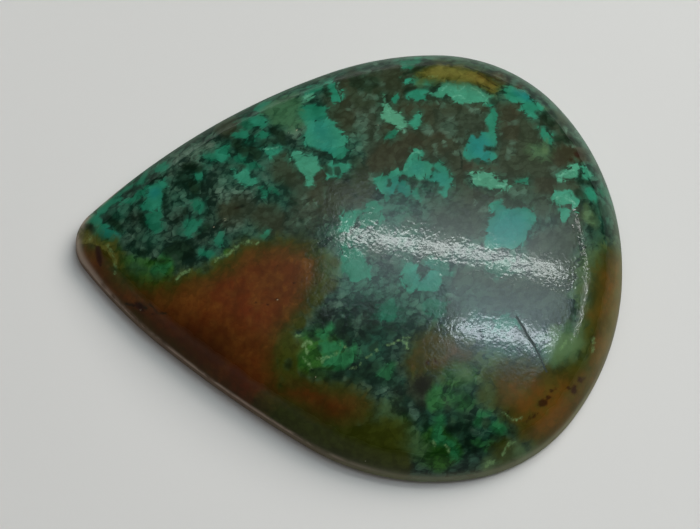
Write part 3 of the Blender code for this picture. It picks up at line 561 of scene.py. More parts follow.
# %% Dark splinters
DARK_SPLINTERS = (  # how dark each splinter is
    (0.8, 183, 39, 3, 3, 2, -6, 1, -10, -3, 1, -2, 6),
    (0.8, 190, 45, 4, 0, 4, -6, -3, -3, -3, 3),
    (0.7, 193, 27, 5, 2, 1, -7, -3, -2),
    (0.7, 180, 20, 4, 0, 2, -6, -4, 0),
    (0.8, 159, 94, 5, 4, 8, 0, 3, -4, -6, -1, -7, -2),
    (1, -188, 18, 2, -7, 4, -5, 7, -6, 3, -2, 0, 3, -3, 4, -1, 3, -7, 6),
    (1, -162, 16, 4, 0, 3, -5, 2, -9, -3, 0, -4, 5),
    (1, -202, 9, 5, 0, 2, -4, 1, -4, -3, 0, -3, 3),
    (1, -145, 35, 4, -1, 1, -9, 0, -7, -3, 0, 0, 7),
    (1, -124, 43, 6, -3, 2, -7, -4, -3, -4, 5),
    (0.9, -137, -12, 7, 4, 9, 0, 7, -7, 1, -7, -8, -3, -7, 0, -3, 5, -5, -2, -2, 5),
    (0.9, -164, -14, 3, 7, 1, 4, 1, -2, -3, -7),
    (0.8, -159, -16, 8, 1, 1, -4, -8, -1),
    (0.9, -142, -24, 5, 2, 3, -2, -4, -2),
    (0.9, -176, 34, 3, 2, 4, 2, 2, -3, -5, -1, -3, -3),
    (1, -95, 76, 4, 1, 5, -1, -1, -4, 3, -3, 4, 0, 7, 0, 4, -4, -1, -5, -4, -2, -5, 4, -6, 2, -5, 3, -4, 3),
    (0.7, -74, 70, 3, 5, 6, 2, 5, 0, 0, -5, -6, -2, -6, -2),
    (1, -67, 87, 6, 0, 6, -3, 2, -7, 2, -6, -4, 0, -4, 6, -6, 4),
    (0.9, -87, 54, 4, 1, 1, -3, -4, -1),
    (1, -133, 57, 8, 1, 6, -3, 5, -2, 0, -5, -5, -1, -7, 3, -5, 0),
    (1, -125, 41, 4, 1, 1, -4, 3, -3, 0, -5, -4, 1, -4, 6),
    (0.8, -118, 40, 5, 1, 2, -3, -5, -2),
    (0.9, -126, 18, 3, 0, 1, -5, -4, 0),
    (0.8, -109, 5, 4, 1, 1, -5, -4, -1),
    (0.7, -114, -4, 7, 0, 1, -3, -8, 0),
    (0.8, -52, 38, 4, -1, 1, -9, -3, 0),
    (0.9, -28, 128, 3, 1, 2, -7, 2, -4, -3, -2, -3, 4),
    (1, -42, 109, 4, 2, 3, 2, 6, 2, -2, -3, -6, -3),
    (0.6, -10, 145, 10, -5, 10, -2, 6, -9, -7, -7, -9, 1, -7, 6),
    (0.9, -27, 66, 5, 1, 4, -3, 0, -2, -4, 0, -4, 2),
    (0.9, -25, 58, 3, -2, 5, -4, 1, -4, -4, 3, -4, 4),
    (1, -13, 53, 2, 1, 2, -6, -2, -4, -1, 4),
    (0.6, -1, 65, 3, -1, 1, -5, -5, -1, -1, 4),
    (1, 27, 46, 2, 0, 1, -5, -3, 0),
    (0.5, 26, 35, 5, -1, 3, -6, -4, -2, -4, 4),
    (1, -42, 18, 3, 0, 0, -3, -3, 0),
    (1, -46, 27, 6, -1, 2, -5, -5, -1, -3, 2),
    (0.9, -36, 11, 2, 0, -1, -3, -2, 1),
    (0.7, -23, 22, 3, 0, -1, -7, -1, -9, -1, -2, -1, 10),
    (0.8, -16, 15, 3, -1, 1, -3, -3, -1),
    (0.8, -21, 4, 3, -1, 0, -8, -3, 1),
    (0.6, -42, 3, 9, 2, 6, -3, -1, -6, -8, -2, -4, 3),
    (0.8, -9, 48, 5, 1, 4, -3, -1, -5, -6, 0),
    (0.7, 1, 34, 4, -1, 0, -4, -4, 0),
    (1, 34, 142, 7, 5, 6, 7, 7, 3, 12, 1, 8, -3, 8, -2, -2, -3, -10, 3, -11, 2, -8, -5, -8, -6, -8, -4),
    (1, 60, 135, 3, 1, 1, -3, -4, -4, -4, -3, -2, 2, 3, 4),
    (0.8, 37, 130, 10, 0, 8, 1, -2, -3, -7, 0, -7, -3, -4, -5, -1, 5),
    (1, 52, 122, 2, 1, 1, -4, -2, -1),
    (1, 99, 81, 5, -1, 4, -1, -3, -2, -5, 0),
    (0.9, 101, 124, 4, 1, 3, -4, -4, -2, -3, 2),
    (0.9, 90, 68, 4, 1, 5, -2, 4, 0, -3, -2, -6, 1),
    (1, 42, 48, 4, 1, 3, -3, -2, -4, -2, -3, -1, 4),
    (1, 53, 46, 4, 2, 2, -3, -2, -4, -3, 2),
    (0.9, 58, 42, 5, 0, 6, 1, -1, -2, -6, -1, -2, 1),
    (0.8, 41, 33, 5, 2, 1, -4, -4, -2),
    (0.9, 51, 41, 2, -3, -1, -4, -1, 2),
    (0.9, 60, 57, 3, 1, 4, -3, -3, -1),
    (0.9, 99, 46, 3, 0, 1, -3, -3, 0),
    (1, 137, 117, 3, 0, 1, -4, -4, 2),
    (0.8, 144, 119, 6, 1, 4, -4, 1, -6, -2, -6, -5, 1, -6, 3, -1, 3),
    (0.9, 139, 107, 5, 1, 1, -3, -3, 0),
    (1, 158, 112, 1, -5, 2, -5, -2, 0, -1, 5),
    (0.8, 153, 95, 4, 2, 5, 3, 6, 1, 3, -2, -3, -5, -5, 1, -6, -4, -5, 0),
    (1, 149, 88, 2, -2, 1, -5, -3, -1, 0, 3),
    (0.9, 170, 61, 6, 1, 5, 0, 4, -2, 3, -3, -2, -2, -5, 3, -5, 1, -5, -1),
    (0.9, 169, 51, 5, 2, 4, -5, 5, -3, 3, -4, 2, -5, -4, 0, -4, 4, -5, 4, -4, 2),
    (0.9, 188, 48, 3, -1, 2, -6, -1, -4, 2, -6, -1, -2, -4, 6),
    (0.9, 181, 32, 5, 2, 1, -4, -4, -2, -3, 1),
    (0.6, 183, 24, 6, 3, 4, -3, 1, -8, -5, -4, -4, 1, -3, 5),
    (0.8, 194, 25, 4, -1, 1, -5, -1, -7, -3, 1, -2, 6),
    (0.6, 189, 6, 7, 2, 3, -4, -4, -6, -4, -4, -1, 6),
    (1, -24, -77, 3, 1, 2, -3, 2, -1, -2, -1, -5, 2),
    (0.8, -18, -85, 3, 0, 1, -3, -3, -1),
    (0.9, -9, -75, 3, -1, 1, -3, -3, -2, -1, 2),
    (1, -4, -65, 6, 1, 4, 0, 0, -6, -2, -2, 1, -5, 2, -6, -2, -1, -3, 4, -4, 2, -2, 4, -1, 4),
    (0.9, -20, -60, 6, -1, 3, -5, -2, -5, -5, -1, -2, 4),
    (1, 10, -51, 4, 1, 0, -3, -3, 0),
    (0.9, 6, -52, 4, -4, 1, -3, -4, -1, -3, 4),
    (0.7, 16, -50, 5, 1, 2, -4, -5, -1),
    (0.7, 23, -54, 4, 1, 0, -4, -3, -1),
    (0.9, 23, -65, 4, 1, 1, -3, -3, -1),
    (0.7, 30, -65, 9, 1, 3, -6, -5, -3, -6, 2),
    (1, 23, -82, 3, 2, 1, -3, -3, -3, 0, -2, -3, 1, 0, 3),
    (0.7, 12, -72, 6, -2, 4, -3, -2, -4, -5, 2, -4, 3),
    (0.7, 8, -104, 8, 6, 10, 4, 2, -4, -5, -8, -7, -3, -6, 1),
    (1, -22, -102, 8, 1, 7, 0, 11, -2, -2, -6, -8, 0, -9, 2, -7, 2),
    (1, 44, -127, 3, 2, 5, -1, -2, -4, -3, -1, -3, 2),
    (0.9, 51, -129, 4, -4, 3, -3, -3, -1, -5, 4),
    (0.8, 59, -119, 5, -1, -1, -6, 3, -4, 2, -6, -2, -6, -3, 2, -2, 7, -2, 8),
    (0.9, 71, -127, 9, 2, 2, -3, -6, 0, -4, -1),
    (1, 78, -136, 6, 1, 7, -1, -1, -3, -5, -3, -5, 0),
    (1, 106, -129, 5, 1, 2, -4, -3, -4, -3, 1),
    (1, 108, -139, 6, 1, 4, -2, 3, -1, -3, -2, -6, 1, -4, 0),
    (0.9, 93, -143, 5, -1, 0, -5, -2, -4, -2, 4),
    (0.9, 97, -147, 6, -1, 3, -2, -3, -4, -4, 1),
    (0.9, 119, -127, 4, 1, 3, -3, 3, -4, -4, 0, -4, 3),
    (0.7, 125, -133, 5, 3, 5, -5, -2, -4, -7, 1),
    (0.8, 83, -120, 6, 1, 2, -2, -5, -2),
    (0.7, 91, -109, 3, -2, 2, -8, -2, -3, -3, 6),
    (0.6, 88, -126, 7, 2, 5, -5, -1, -8, -6, -2, -5, 5),
    (0.8, 47, -60, 5, 0, 4, 4, -1, -5, -4, -2, -3, 0),
    (0.6, 74, -55, 4, -1, 0, -3, -4, 0),
    (0.8, 43, -64, 5, -1, 2, -5, -5, -1, -3, 3),
    (0.8, 46, -75, 5, 2, 3, -2, -4, -2, -4, 0),
    (0.8, -166, -28, 7, 0, 9, -2, 0, -1, -9, 0, -6, 1),
    (0.8, -136, -37, 3, 3, 5, 3, 2, -1, -5, -3, -3, -4),
    (0.8, -129, -22, 4, -3, 1, -6, -4, -1, -2, 5),
    (0.9, -108, -24, 3, -1, -2, -4, 4, 1, 4, -1, -4, -2, -4, 1),
    (0.7, -50, -69, 8, 1, 4, -4, -8, -1, -4, 2),
    (0.9, -40, -97, 3, 1, 3, -1, -1, -5, -3, 0, -3, 2),
    (0.6, -59, -10, 6, 3, 3, -3, -5, -2),
    (0.7, 46, -33, 2, 0, 1, -3, -2, -2, -2, 2),
    (0.6, 57, -28, 3, 0, 0, -3, -2, 0),
    (0.8, 83, -110, 6, 1, 2, -2, -5, -2),
)
mark_patches("dark", DARK_SPLINTERS, softness=0.45)

# %% Pale flecks
PALE_FLECKS = (  # how pale each fleck is
    (0.6, -4, 84, 8, 0, 5, -1, 1, -7, -6, -6, -6, -2, -3, 4, 2, 4),  # grey right
    (0.9, 159, 111, 4, -1, 6, -3, 6, -5, -4, -4, -6, 2, -5, 5),
    (0.7, 161, 94, 5, 1, 4, -3, -4, -3, -4, 2),
    (0.7, 146, 118, 4, 0, 4, -4, -3, -3, -4, 2),
    (0.6, 186, 63, 6, 1, 5, -5, -2, -7, -5, 3),
    (0.6, 178, 48, 5, -1, 1, -6, -4, 0),
    (0.5, 188, 37, 5, 0, 1, -6, -4, 0),
    (0.5, -175, 9, 5, 1, 4, -4, 2, -3, -4, -1, -4, 2, -3, 3),
    (0.5, -169, 17, 5, 1, 2, -5, 0, -3, -4, 1, -3, 3),
    (0.5, -164, 6, 5, 1, 3, -4, -4, -1),
    (0.8, -173, -3, 4, 1, 6, 1, 2, -5, -3, -3, -6, -2, -3, 4),
    (0.5, -160, -8, 7, 1, 3, -4, -1, -3, -6, -1, -5, 2),
    (0.6, -166, -17, 4, 1, 3, -6, -4, -2, -4, 3),
    (0.4, -151, -19, 5, 2, 4, -1, 1, -5, -5, -1, -4, 0),
    (0.4, -136, 1, 3, 1, 3, -8, -3, -6, -3, -1, -1, 7),
    (0.6, -139, 39, 3, 0, 2, -5, -2, -2),
    (0.5, -132, 33, 4, 3, 6, -3, 0, -4, -5, -1, -4, 1),
    (0.2, -134, 20, 8, 2, 3, -4, 0, -6, -5, -4, -3, 5),
    (0.6, -131, -20, 2, 1, 4, -6, -3, -1),
    (0.6, -116, 80, 3, 3, 3, 2, 2, -3, -2, -4, -3, -1),
    (0.6, -124, 67, 1, 6, 2, 4, 2, -3, -1, -8, -2, -4),
    (0.5, -131, 62, 2, 5, 4, -2, 1, -6, -4, 0),
    (0.6, -118, 63, 1, 6, 2, 5, 1, -5, -1, -7, -2, -3),
    (0.5, -108, 51, 2, 2, 3, 1, 0, -4, -3, -1),
    (0.5, -110, 45, 4, 1, 3, -3, -2, -3, -4, 0),
    (0.4, -65, 57, 3, -1, 2, -4, 1, -4, -4, 1, -2, 4),
    (0.4, -69, 49, 3, -2, 3, -5, 1, -4, -3, 0, -2, 5),
    (0.5, -102, 40, 5, 0, 1, -3, -4, -2),
    (0.6, -114, 32, 3, 1, 2, -4, 0, -4, -4, 2),
    (0.6, -100, 28, 2, 2, 2, -3, -1, -5, -2, -1),
    (0.6, -95, 22, 2, 5, 3, 4, 2, 0, -1, -5, -4, -5),
    (0.6, -89, 35, 5, 1, 2, -3, 1, -5, -3, -1, -4, 4),
    (0.5, -78, 31, 2, 1, 3, -2, -2, -3),
    (0.5, -106, 0, 3, 2, 2, -2, -2, -2, -3, 0),
    (0.3, -54, 89, 8, 1, 4, -5, -1, -8, -6, -3, -5, 7),
    (0.5, 4, 133, 4, 0, 4, -3, -3, -2, -5, 1),
    (0.4, 15, 130, 5, 1, 0, -4, -5, 0),
    (0.4, -1, 125, 4, 1, 1, -5, -4, -2),
    (0.4, 4, 118, 7, 1, 6, -1, -5, -3, -7, 0),
    (0.6, 2, 137, 3, 6, 4, 7, 5, 6, -2, -7, -4, -5, -2, -6),
    (0.4, 11, 108, 4, 1, 1, -5, -4, -1),
    (0.45, -2, 90, 1, 7, 1, 5, 3, -3, 3, 3, 3, -6, 0, -8, -3, -3, -5, 3),
    (0.5, -11, 107, 3, 4, 4, -3, 0, -5, -3, -1),
    (0.9, 15, 92, 3, 2, 2, -2, -3, -4),
    (0.35, 12, 85, 6, 0, 1, -5, -5, -1),
    (0.5, -35, 31, 3, -5, -1, -5, -2, -1, -1, 6),
    (0.5, -28, 27, 2, -2, 2, -8, -2, 0, -2, 5),
    (0.5, -33, 13, 3, -1, 4, -5, 2, -1, -4, -2, -4, 1, -2, 4),
    (0.4, -42, 11, 4, 0, 2, -6, -4, -1),
    (0.6, -24, 1, 4, 1, 1, -5, -2, -2, -3, 1),
    (0.3, -20, 40, 3, -2, 1, -10, -3, -1, -2, 8),
    (0.6, 12, 51, 4, 1, 1, -4, -1, -6, -3, 3),
    (0.5, -19, 15, 3, 2, 0, -9, -3, -2),
    (0.5, -14, 8, 3, -2, 3, -8, -3, -3, -3, 5),
    (0.7, 4, 23, 2, -2, 1, -3, -3, 0),
    (0.4, 50, 163, 6, -1, 8, 1, 8, -1, -5, -3, -11, 0),
    (0.5, 62, 117, 4, 0, 2, -5, -4, -1),
    (0.6, 84, 115, 6, 0, 5, -3, 3, -4, -3, -1, -4, 2, -4, 3),
    (0.4, 64, 97, 5, 4, 6, 2, 3, -5, 1, -5, -3, -6, -5, -2, -3, 4, -4, 2),
    (0.6, 84, 93, 2, 2, 1, -2, -2, -4, -2, -1),
    (0.8, 76, 84, 3, 3, 4, -1, 1, -3, -3, -3, -4, 0),
    (0.6, 67, 82, 2, -1, 1, -3, -2, -1),
    (0.9, 49, 92, 3, 2, 6, 0, 1, -4, -2, -4, -4, 0, -3, 3),
    (0.6, 110, 95, 4, 0, 0, -4, -3, -1),
    (0.5, 59, 80, 3, 1, 0, -9, 2, -5, -3, -2, -1, 4),
    (0.5, 73, 74, 7, 1, 3, -1, -3, -1, -6, -3),
    (0.7, 83, 58, 5, 1, 0, -3, -3, -2),
    (0.6, 93, 35, 2, 0, 1, -3, -1, -2, -2, 1),
    (0.5, 97, 30, 4, 1, 2, -3, -2, -3, -4, 1),
    (0.4, 107, 34, 6, 2, 3, -3, -4, -1, -5, 0),
    (0.5, 99, 41, 4, 2, 6, -2, -2, -3, -7, 0),
    (0.5, 116, 105, 3, 1, 4, 2, 2, -3, -2, -3, -5, -1),
    (0.4, 135, 85, 5, 3, 5, 1, 4, -3, 2, -4, -2, -6, -6, -1, -4, 1, -4, 4),
    (0.8, 159, 110, 4, 2, 5, -4, 5, 1, 4, 1, 0, -7, -5, 1, -6, -2, -4, 2, -3, 2),
    (0.7, 161, 93, 3, 2, 2, -2, 3, -2, -2, -2, -4, 1, -2, 1),
    (0.5, 148, 68, 6, 3, 3, -3, -2, -6, -5, -1),
    (0.5, 117, 81, 4, 1, 3, -4, -4, -3, -3, 2),
    (0.6, 114, 74, 4, 1, 1, -3, -3, -2),
    (0.5, 117, 88, 4, 1, 3, -3, -5, -2),
    (0.5, 118, 48, 4, 0, 4, -4, -1, -3, -5, 2, -3, 2),
    (0.5, 128, 46, 3, 2, 2, -2, -1, -4, -4, 0),
    (0.6, 142, 44, 5, 2, 4, 0, 1, -2, -4, -3, -4, 1),
    (0.5, 172, 39, 4, 1, 5, -3, -1, -6, -4, -1, -3, 4),
    (0.4, 201, 65, 4, -7, 1, -6, -4, -4, -4, 6),
    (0.6, -29, -63, 3, 1, 3, -1, 1, -5, -3, -3, -3, 1),
    (0.6, -11, -60, 3, 1, 2, -3, 2, -3, -3, 0, -3, 2),
    (0.6, -5, -56, 1, 1, 2, -2, -3, -1),
    (0.5, -2, -59, 4, 0, 2, -2, -3, -3, -2, 2),
    (0.4, 7, -62, 6, 0, 1, -8, -2, -6, -3, 0, -2, 5),
    (0.5, 13, -58, 5, -1, 2, -4, -4, -1, -3, 2),
    (0.5, -8, -42, 4, 2, 4, -4, -2, -5, -4, 1),
    (0.5, 42, -102, 3, 4, 4, 0, 0, -3, -3, -2),
    (0.6, 2, -107, 2, 1, 1, -2, -2, -1),
    (0.5, 15, -109, 3, 1, 3, -2, 3, -3, -2, -2, -4, 3),
    (0.4, 33, -113, 3, 2, 3, -3, 3, -1, 4, 3, 2, -2, -4, -4, -6, 0, -4, 2),
    (0.4, 55, -101, 4, 1, 3, -2, -2, -3, -5, 0),
    (0.7, 51, -123, 3, 3, 2, -4, 3, -1, 4, -2, -3, -2, 0, -3, -3, -2, -3, 3, -2, 3),
    (0.5, 53, -137, 3, 1, 4, -4, -4, -1),
    (0.4, 58, -85, 6, 3, 1, -4, -4, -2),
    (0.6, -121, -26, 4, 0, 3, -2, -4, -3, -3, 2),
    (0.5, -105, -21, 6, 1, 2, -3, -3, -4, -5, 1),
    (0.6, -55, -10, 6, 1, 3, -2, -4, -2),
    (0.5, -27, -11, 4, 1, 0, -6, -4, 0),
    (0.5, -16, -5, 6, 2, 2, -8, 0, -11, -5, 0, -1, 9),
    (0.6, 76, -38, 5, 2, 2, -4, -4, -3, -4, 2),
)
mark_patches("pale", PALE_FLECKS, softness=0.45)

# %% [markdown]
# ### Veins
# Late cracks that healed with pale lime green, mint or dark mineral. Each is a half width in millimetres
# and a line that is walked in tenths of a millimetre.

# %% Veins
LIME_VEINS = (  # half width and line of each lime vein
    (0.091, -98, -24, 2, 2, 3, 2, 3, 1, 3, 2, 4, 4, 3, 3, 4, 1, 2, 1),
    (0.076, -184, -9, 4, -5, 3, -6, 2, -6, 0, -5),
    (0.14, -28, -85, 3, 3, 3, -1),
    (0.098, -26, -85, 1, -3, 1, -2),
    (0.076, -33, -78, 2, 0),
    (0.098, -27, -94, 4, -4, 2, -3),
    (0.076, -13, -96, 3, 3, 5, 1, 3, 3),
    (0.083, -17, -94, 4, 0),
    (0.091, 0, -83, 3, -2),
    (0.061, 9, -100, 4, 1, 2, 3),
    (0.061, 19, -92, 4, 3, 3, 2, 0, 2),
    (0.061, 31, -82, 3, 1, 4, 1, 3, 2, 2, 2, 7, 1),
    (0.098, 44, -78, 4, -1, 0, -4),
    (0.076, 81, -149, 2, -2, 0, -2),
    (0.098, 71, -147, 2, -2),
    (0.14, 111, -161, 2, 3, 4, 1),
    (0.076, 123, -152, 2, 6, 3, 3, 4, 1),
    (0.076, 121, -124, 5, -2, 5, -2, 4, 2),
    (0.098, -126, -39, 1, 3, 4, 3, 5, 2),
    (0.076, 161, -74, 3, 3, 1, 5),
    (0.076, 186, -61, 1, -5, -1, -6),
    (0.053, 53, 140, 7, 1),
    (0.053, -200, 1, 3, -3, -1, -3),
    (0.061, -71, -9, 3, -2, 2, 3),
)
MINT_VEINS = (  # the same for the palest turquoise
    (0.053, 65, 128, 3, 5, 2, 2),
    (0.045, 75, 128, 4, 1, 3, 4, 3, 4),
    (0.076, 70, 137, 7, 1, 4, -1, 4, -2),
    (0.053, 88, 133, 6, -4, 4, -4),
    (0.053, 73, 122, 4, 3, 6, -4),
    (0.061, 89, 52, 6, 0),
    (0.068, 109, 49, 5, -1, 3, 2),
    (0.083, 34, 92, 4, -3, -1, -2),
    (0.076, 44, 69, 4, 2, 3, -1),
    (0.083, 157, 62, 6, 4, 5, 3),
    (0.076, 155, 43, 5, 3, 5, -3, 6, -4),
    (0.076, -42, 112, 1, 4, 3, 2),
    (0.053, -70, 68, 6, 0, 6, 2),
    (0.061, -16, 132, -1, -7, 4, -8),
    (0.068, -11, -95, 5, 3, 6, 3),
    (0.053, 71, -110, 3, -5, -2, -6),
)
DARK_VEINS = (  # and for dark seams
    (0.076, 22, 120, 1, -6, 3, -4),
    (0.068, 173, 76, 1, -7, -1, -7),
    (0.068, -146, -54, 6, -7, 3, -1, 5, 0),
    (0.076, -165, -53, 7, -2, 4, 1, 6, -4),
    (0.068, 127, -54, 3, -4, 3, -4),
    (0.061, 200, 43, 3, -5, 3, -5),
    (0.068, 46, -42, 3, -4),
    (0.061, -7, 81, 3, -4, 0, -5),
    (0.061, 92, 138, 8, -4, 7, -4),
    (0.061, 88, 150, 6, -3, 8, -6, 7, -5),
    (0.061, -88, 76, 6, -7, 7, 0),
    (0.068, -41, 69, 6, -2, 8, 0),
    (0.068, 77, 58, 5, 2, 0, 7, -2, 7),
)
mark_veins("lime", LIME_VEINS)
mark_veins("mint", MINT_VEINS)
mark_veins("seam", DARK_VEINS)

# %% [markdown]
# ### Soft colour
# Stains have no edge: they are dabs of x, y, radius and amount. The ground's dabs come first, then the
# greens and the bluer turquoise, then the browns, and last the iron spots and the glints, small dabs of
# painted highlight.

# %% Ground
EARTH = (  # umber ground
    (9.4, 6.2, 0.61, 1), (-0.9, 9.7, 0.61, 0.7), (11.6, 10, 0.61, 0.9), (15.4, 5.2, 0.68, 0.9),
    (15.4, 11.3, 0.91, 0.9), (16.2, 9.9, 0.76, 0.8), (16.9, 8.8, 0.76, 0.8), (9.7, 1.9, 2, 0.9),
    (7.2, 0.4, 1.5, 0.8), (11.5, -3.8, 2.1, 0.95), (14.8, -3.5, 2, 0.95), (9.2, -3.3, 1.7, 0.9),
    (14.7, 0, 1.7, 0.9), (6.1, -0.8, 1.2, 0.7), (13, -5.5, 1.8, 0.9), (16.3, -1.4, 1.4, 0.8),
    (16.2, 1, 1.1, 0.8), (8.2, -5.2, 1.4, 0.8), (16, -5.2, 1.1, 0.7), (4.5, 1, 1.2, 0.6), (2.1, -1.1, 1.1, 0.6),
    (14.2, 8.2, 1.7, 0.8), (12.7, 5.5, 1.8, 0.8), (15.7, 6.3, 1.2, 0.7), (8.1, 6.3, 1.4, 0.8),
    (6.7, 2.8, 1.8, 0.6), (11.2, 4.1, 1.5, 0.6), (8.7, 9.4, 1.5, 0.8), (13.5, 3.5, 1.4, 0.7),
    (16.5, 3, 1.1, 0.6), (2.1, 12, 1.4, 0.8), (-1.7, 4.5, 1.2, 0.8), (0.6, 4, 1.4, 0.8), (1.6, 7.5, 1.1, 0.8),
    (5.7, 7.3, 1.5, 0.8), (0, 2.8, 1.5, 0.7), (0.6, 11.4, 2.9, 0.9), (-0.5, 9.7, 1.9, 0.8), (2.8, 13, 2.3, 0.7),
    (5.7, 9.5, 3.4, 0.8), (3.5, 7.2, 2.6, 0.9), (8.7, 11, 1.9, 0.7), (12.2, 10.2, 2.3, 0.9),
    (11.1, 6.6, 2.6, 0.6), (14.6, 5.3, 2.6, 0.7), (-1, 11.8, 1.7, 0.6), (-3.9, 4.4, 1.4, 0.6),
    (-2.9, 2.6, 1.9, 0.7), (-1.1, 2.3, 1.7, 0.8), (-3.7, 0.8, 1.7, 0.4), (-8.3, 1.9, 1.5, 0.7),
    (-9.1, 1, 1.2, 0.5), (2.4, 5.8, 1.4, 0.6), (15.7, 8.3, 1.5, 0.7), (16.1, 4.6, 1.5, 0.5),
    (16.9, 2.3, 1.9, 0.3), (15.8, 11.4, 1.4, 0.4), (3.5, 14.4, 1.1, 0.8), (-3.6, -0.6, 1.5, 0.4),
)
DEEP = (  # near black ground
    (1.8, -5.4, 1.1, 0.7), (2.1, -6.8, 0.98, 0.7), (0.5, -5.8, 0.76, 0.7), (3.5, -6.5, 0.76, 0.3),
    (6.3, -10.6, 0.83, 0.8), (4.6, -11.4, 0.83, 0.7), (10.5, -13.8, 0.68, 0.4), (-7.9, 6.5, 0.68, 0.7),
    (-0.9, 9.7, 0.45, 0.4), (1, -5.3, 0.83, 0.6), (0.2, -6.3, 0.91, 0.7), (1.9, -6.6, 0.98, 0.6),
    (3.1, -7.4, 0.91, 0.6), (4.2, -7.2, 0.83, 0.5), (-0.4, -5.2, 0.61, 0.4), (2.5, -5.5, 0.83, 0.3),
    (5.7, -7.3, 0.61, 0.3), (-7.6, 7.1, 1.1, 1), (-8.7, 6.7, 0.91, 0.9), (-9.4, 5.8, 0.61, 0.8),
    (-12.7, 4.3, 1.4, 0.8), (-11.9, 3.3, 1.1, 0.8), (-17.5, 0.8, 0.83, 1), (-18.2, 1.6, 0.61, 0.9),
    (-14, -2.5, 1.1, 0.9), (-13.2, -1.5, 0.76, 0.8), (-12.7, -0.1, 0.76, 0.5), (-1.1, -7.3, 0.91, 0.9),
    (0.3, -7.7, 0.91, 1), (-0.3, -5, 1.1, 0.8), (1.7, -7.3, 1.1, 0.8), (0.8, -10.5, 0.98, 1),
    (1.6, -9.8, 0.98, 0.9), (2.4, -11.1, 0.91, 0.6), (5.8, -11.1, 0.98, 0.9), (5.4, -12.1, 0.83, 0.9),
    (6.4, -12.7, 0.68, 0.7), (8, -13.3, 0.45, 0.8), (8.6, -13.7, 0.61, 0.8), (9.8, -14.3, 1.1, 0.9),
    (10.9, -15.1, 0.91, 0.8), (9.5, -11.9, 0.76, 0.6), (15, 11.7, 0.76, 0.8), (-19.6, 0.3, 0.38, 0.9),
    (-10.8, -0.1, 0.76, 0.7), (-11.8, -1.1, 0.76, 0.6), (-4.9, 6.6, 0.91, 0.6), (-6.6, 9.4, 0.61, 0.6),
    (-7.4, 2.8, 0.68, 0.5), (12.1, -14.7, 0.68, 0.6), (-2.3, -8.5, 0.45, 0.7), (-1.6, -10.4, 0.68, 0.8),
    (-0.5, -10.9, 0.68, 0.6), (13.5, -8.1, 0.61, 0.6), (-2.7, -1.5, 0.61, 0.5),
)
FOREST = (  # dark green ground
    (0.6, -7.6, 1.2, 0.8), (2.3, -8.6, 1.2, 0.8), (3.3, -10.3, 1.2, 0.8), (1.5, -10.2, 1.1, 0.8),
    (4.9, -11.6, 1.2, 0.7), (6.7, -11.9, 1.5, 0.8), (9.8, -13.7, 2.3, 0.8), (7.6, -14.6, 1.8, 0.8),
    (12.1, -14.9, 1.2, 0.7), (0.1, -11.2, 0.91, 0.7), (9.6, -12, 1.2, 0.7), (5.9, -10.9, 0.91, 0.8),
    (-0.9, -7.7, 1.1, 0.6), (2.8, -7.1, 1.1, 0.6), (-14.8, -1.9, 1.5, 0.6), (-16.1, -1.1, 1.1, 0.5),
    (-12.5, -1.9, 1.4, 0.5), (4.3, -14.8, 1.8, 0.7), (0.1, -5.8, 1.2, 0.4), (-2.3, -7.4, 1.1, 0.6),
)
WASH = (  # dull turquoise in the ground
    (18.9, 3.3, 1.1, 0.6), (19.2, 1.7, 0.91, 0.5), (18.7, 4.5, 0.91, 0.5), (19.6, 5.4, 0.68, 0.6),
    (18, 5.4, 0.68, 0.5), (-5.2, 10.3, 1.7, 0.8), (-6.8, 6.7, 1.4, 0.6), (-1, 5.6, 1.5, 0.6),
    (-9.2, 4.1, 1.2, 0.5), (-12.9, 2.5, 1.2, 0.4), (-5.3, 3, 1.4, 0.5), (0, 7.8, 1.2, 0.6),
    (4.4, 4.3, 1.8, 0.6), (6.6, 4, 1.5, 0.6), (3.7, 1.8, 1.8, 0.6), (5.3, 0.3, 1.8, 0.5), (9.1, -1, 1.5, 0.4),
    (12.7, 3.8, 1.5, 0.5), (16.9, 4.3, 1.2, 0.3), (1.1, -4.2, 2, 0.6), (3.8, -5.5, 1.7, 0.6),
    (6.3, -4.6, 2, 0.5), (9.3, -4.4, 1.7, 0.4), (-17.6, 1.9, 1.1, 0.6), (-14.9, -0.7, 0.91, 0.5),
    (-7.3, -0.3, 1.1, 0.4), (-4.6, 12.5, 1.2, 0.5), (-2.1, 10.4, 1.1, 0.4), (2.5, 11.5, 1.1, 0.4),
    (7.1, 12.4, 1.4, 0.4), (11, 12.8, 1.1, 0.5), (15.8, 2.9, 1.1, 0.3), (-0.3, 0.7, 1.4, 0.5),
    (0.9, -1.2, 1.4, 0.6), (2.5, -8.2, 1.1, 0.5), (7.2, -13.9, 1.4, 0.5), (11.2, -13.3, 1.2, 0.5),
)
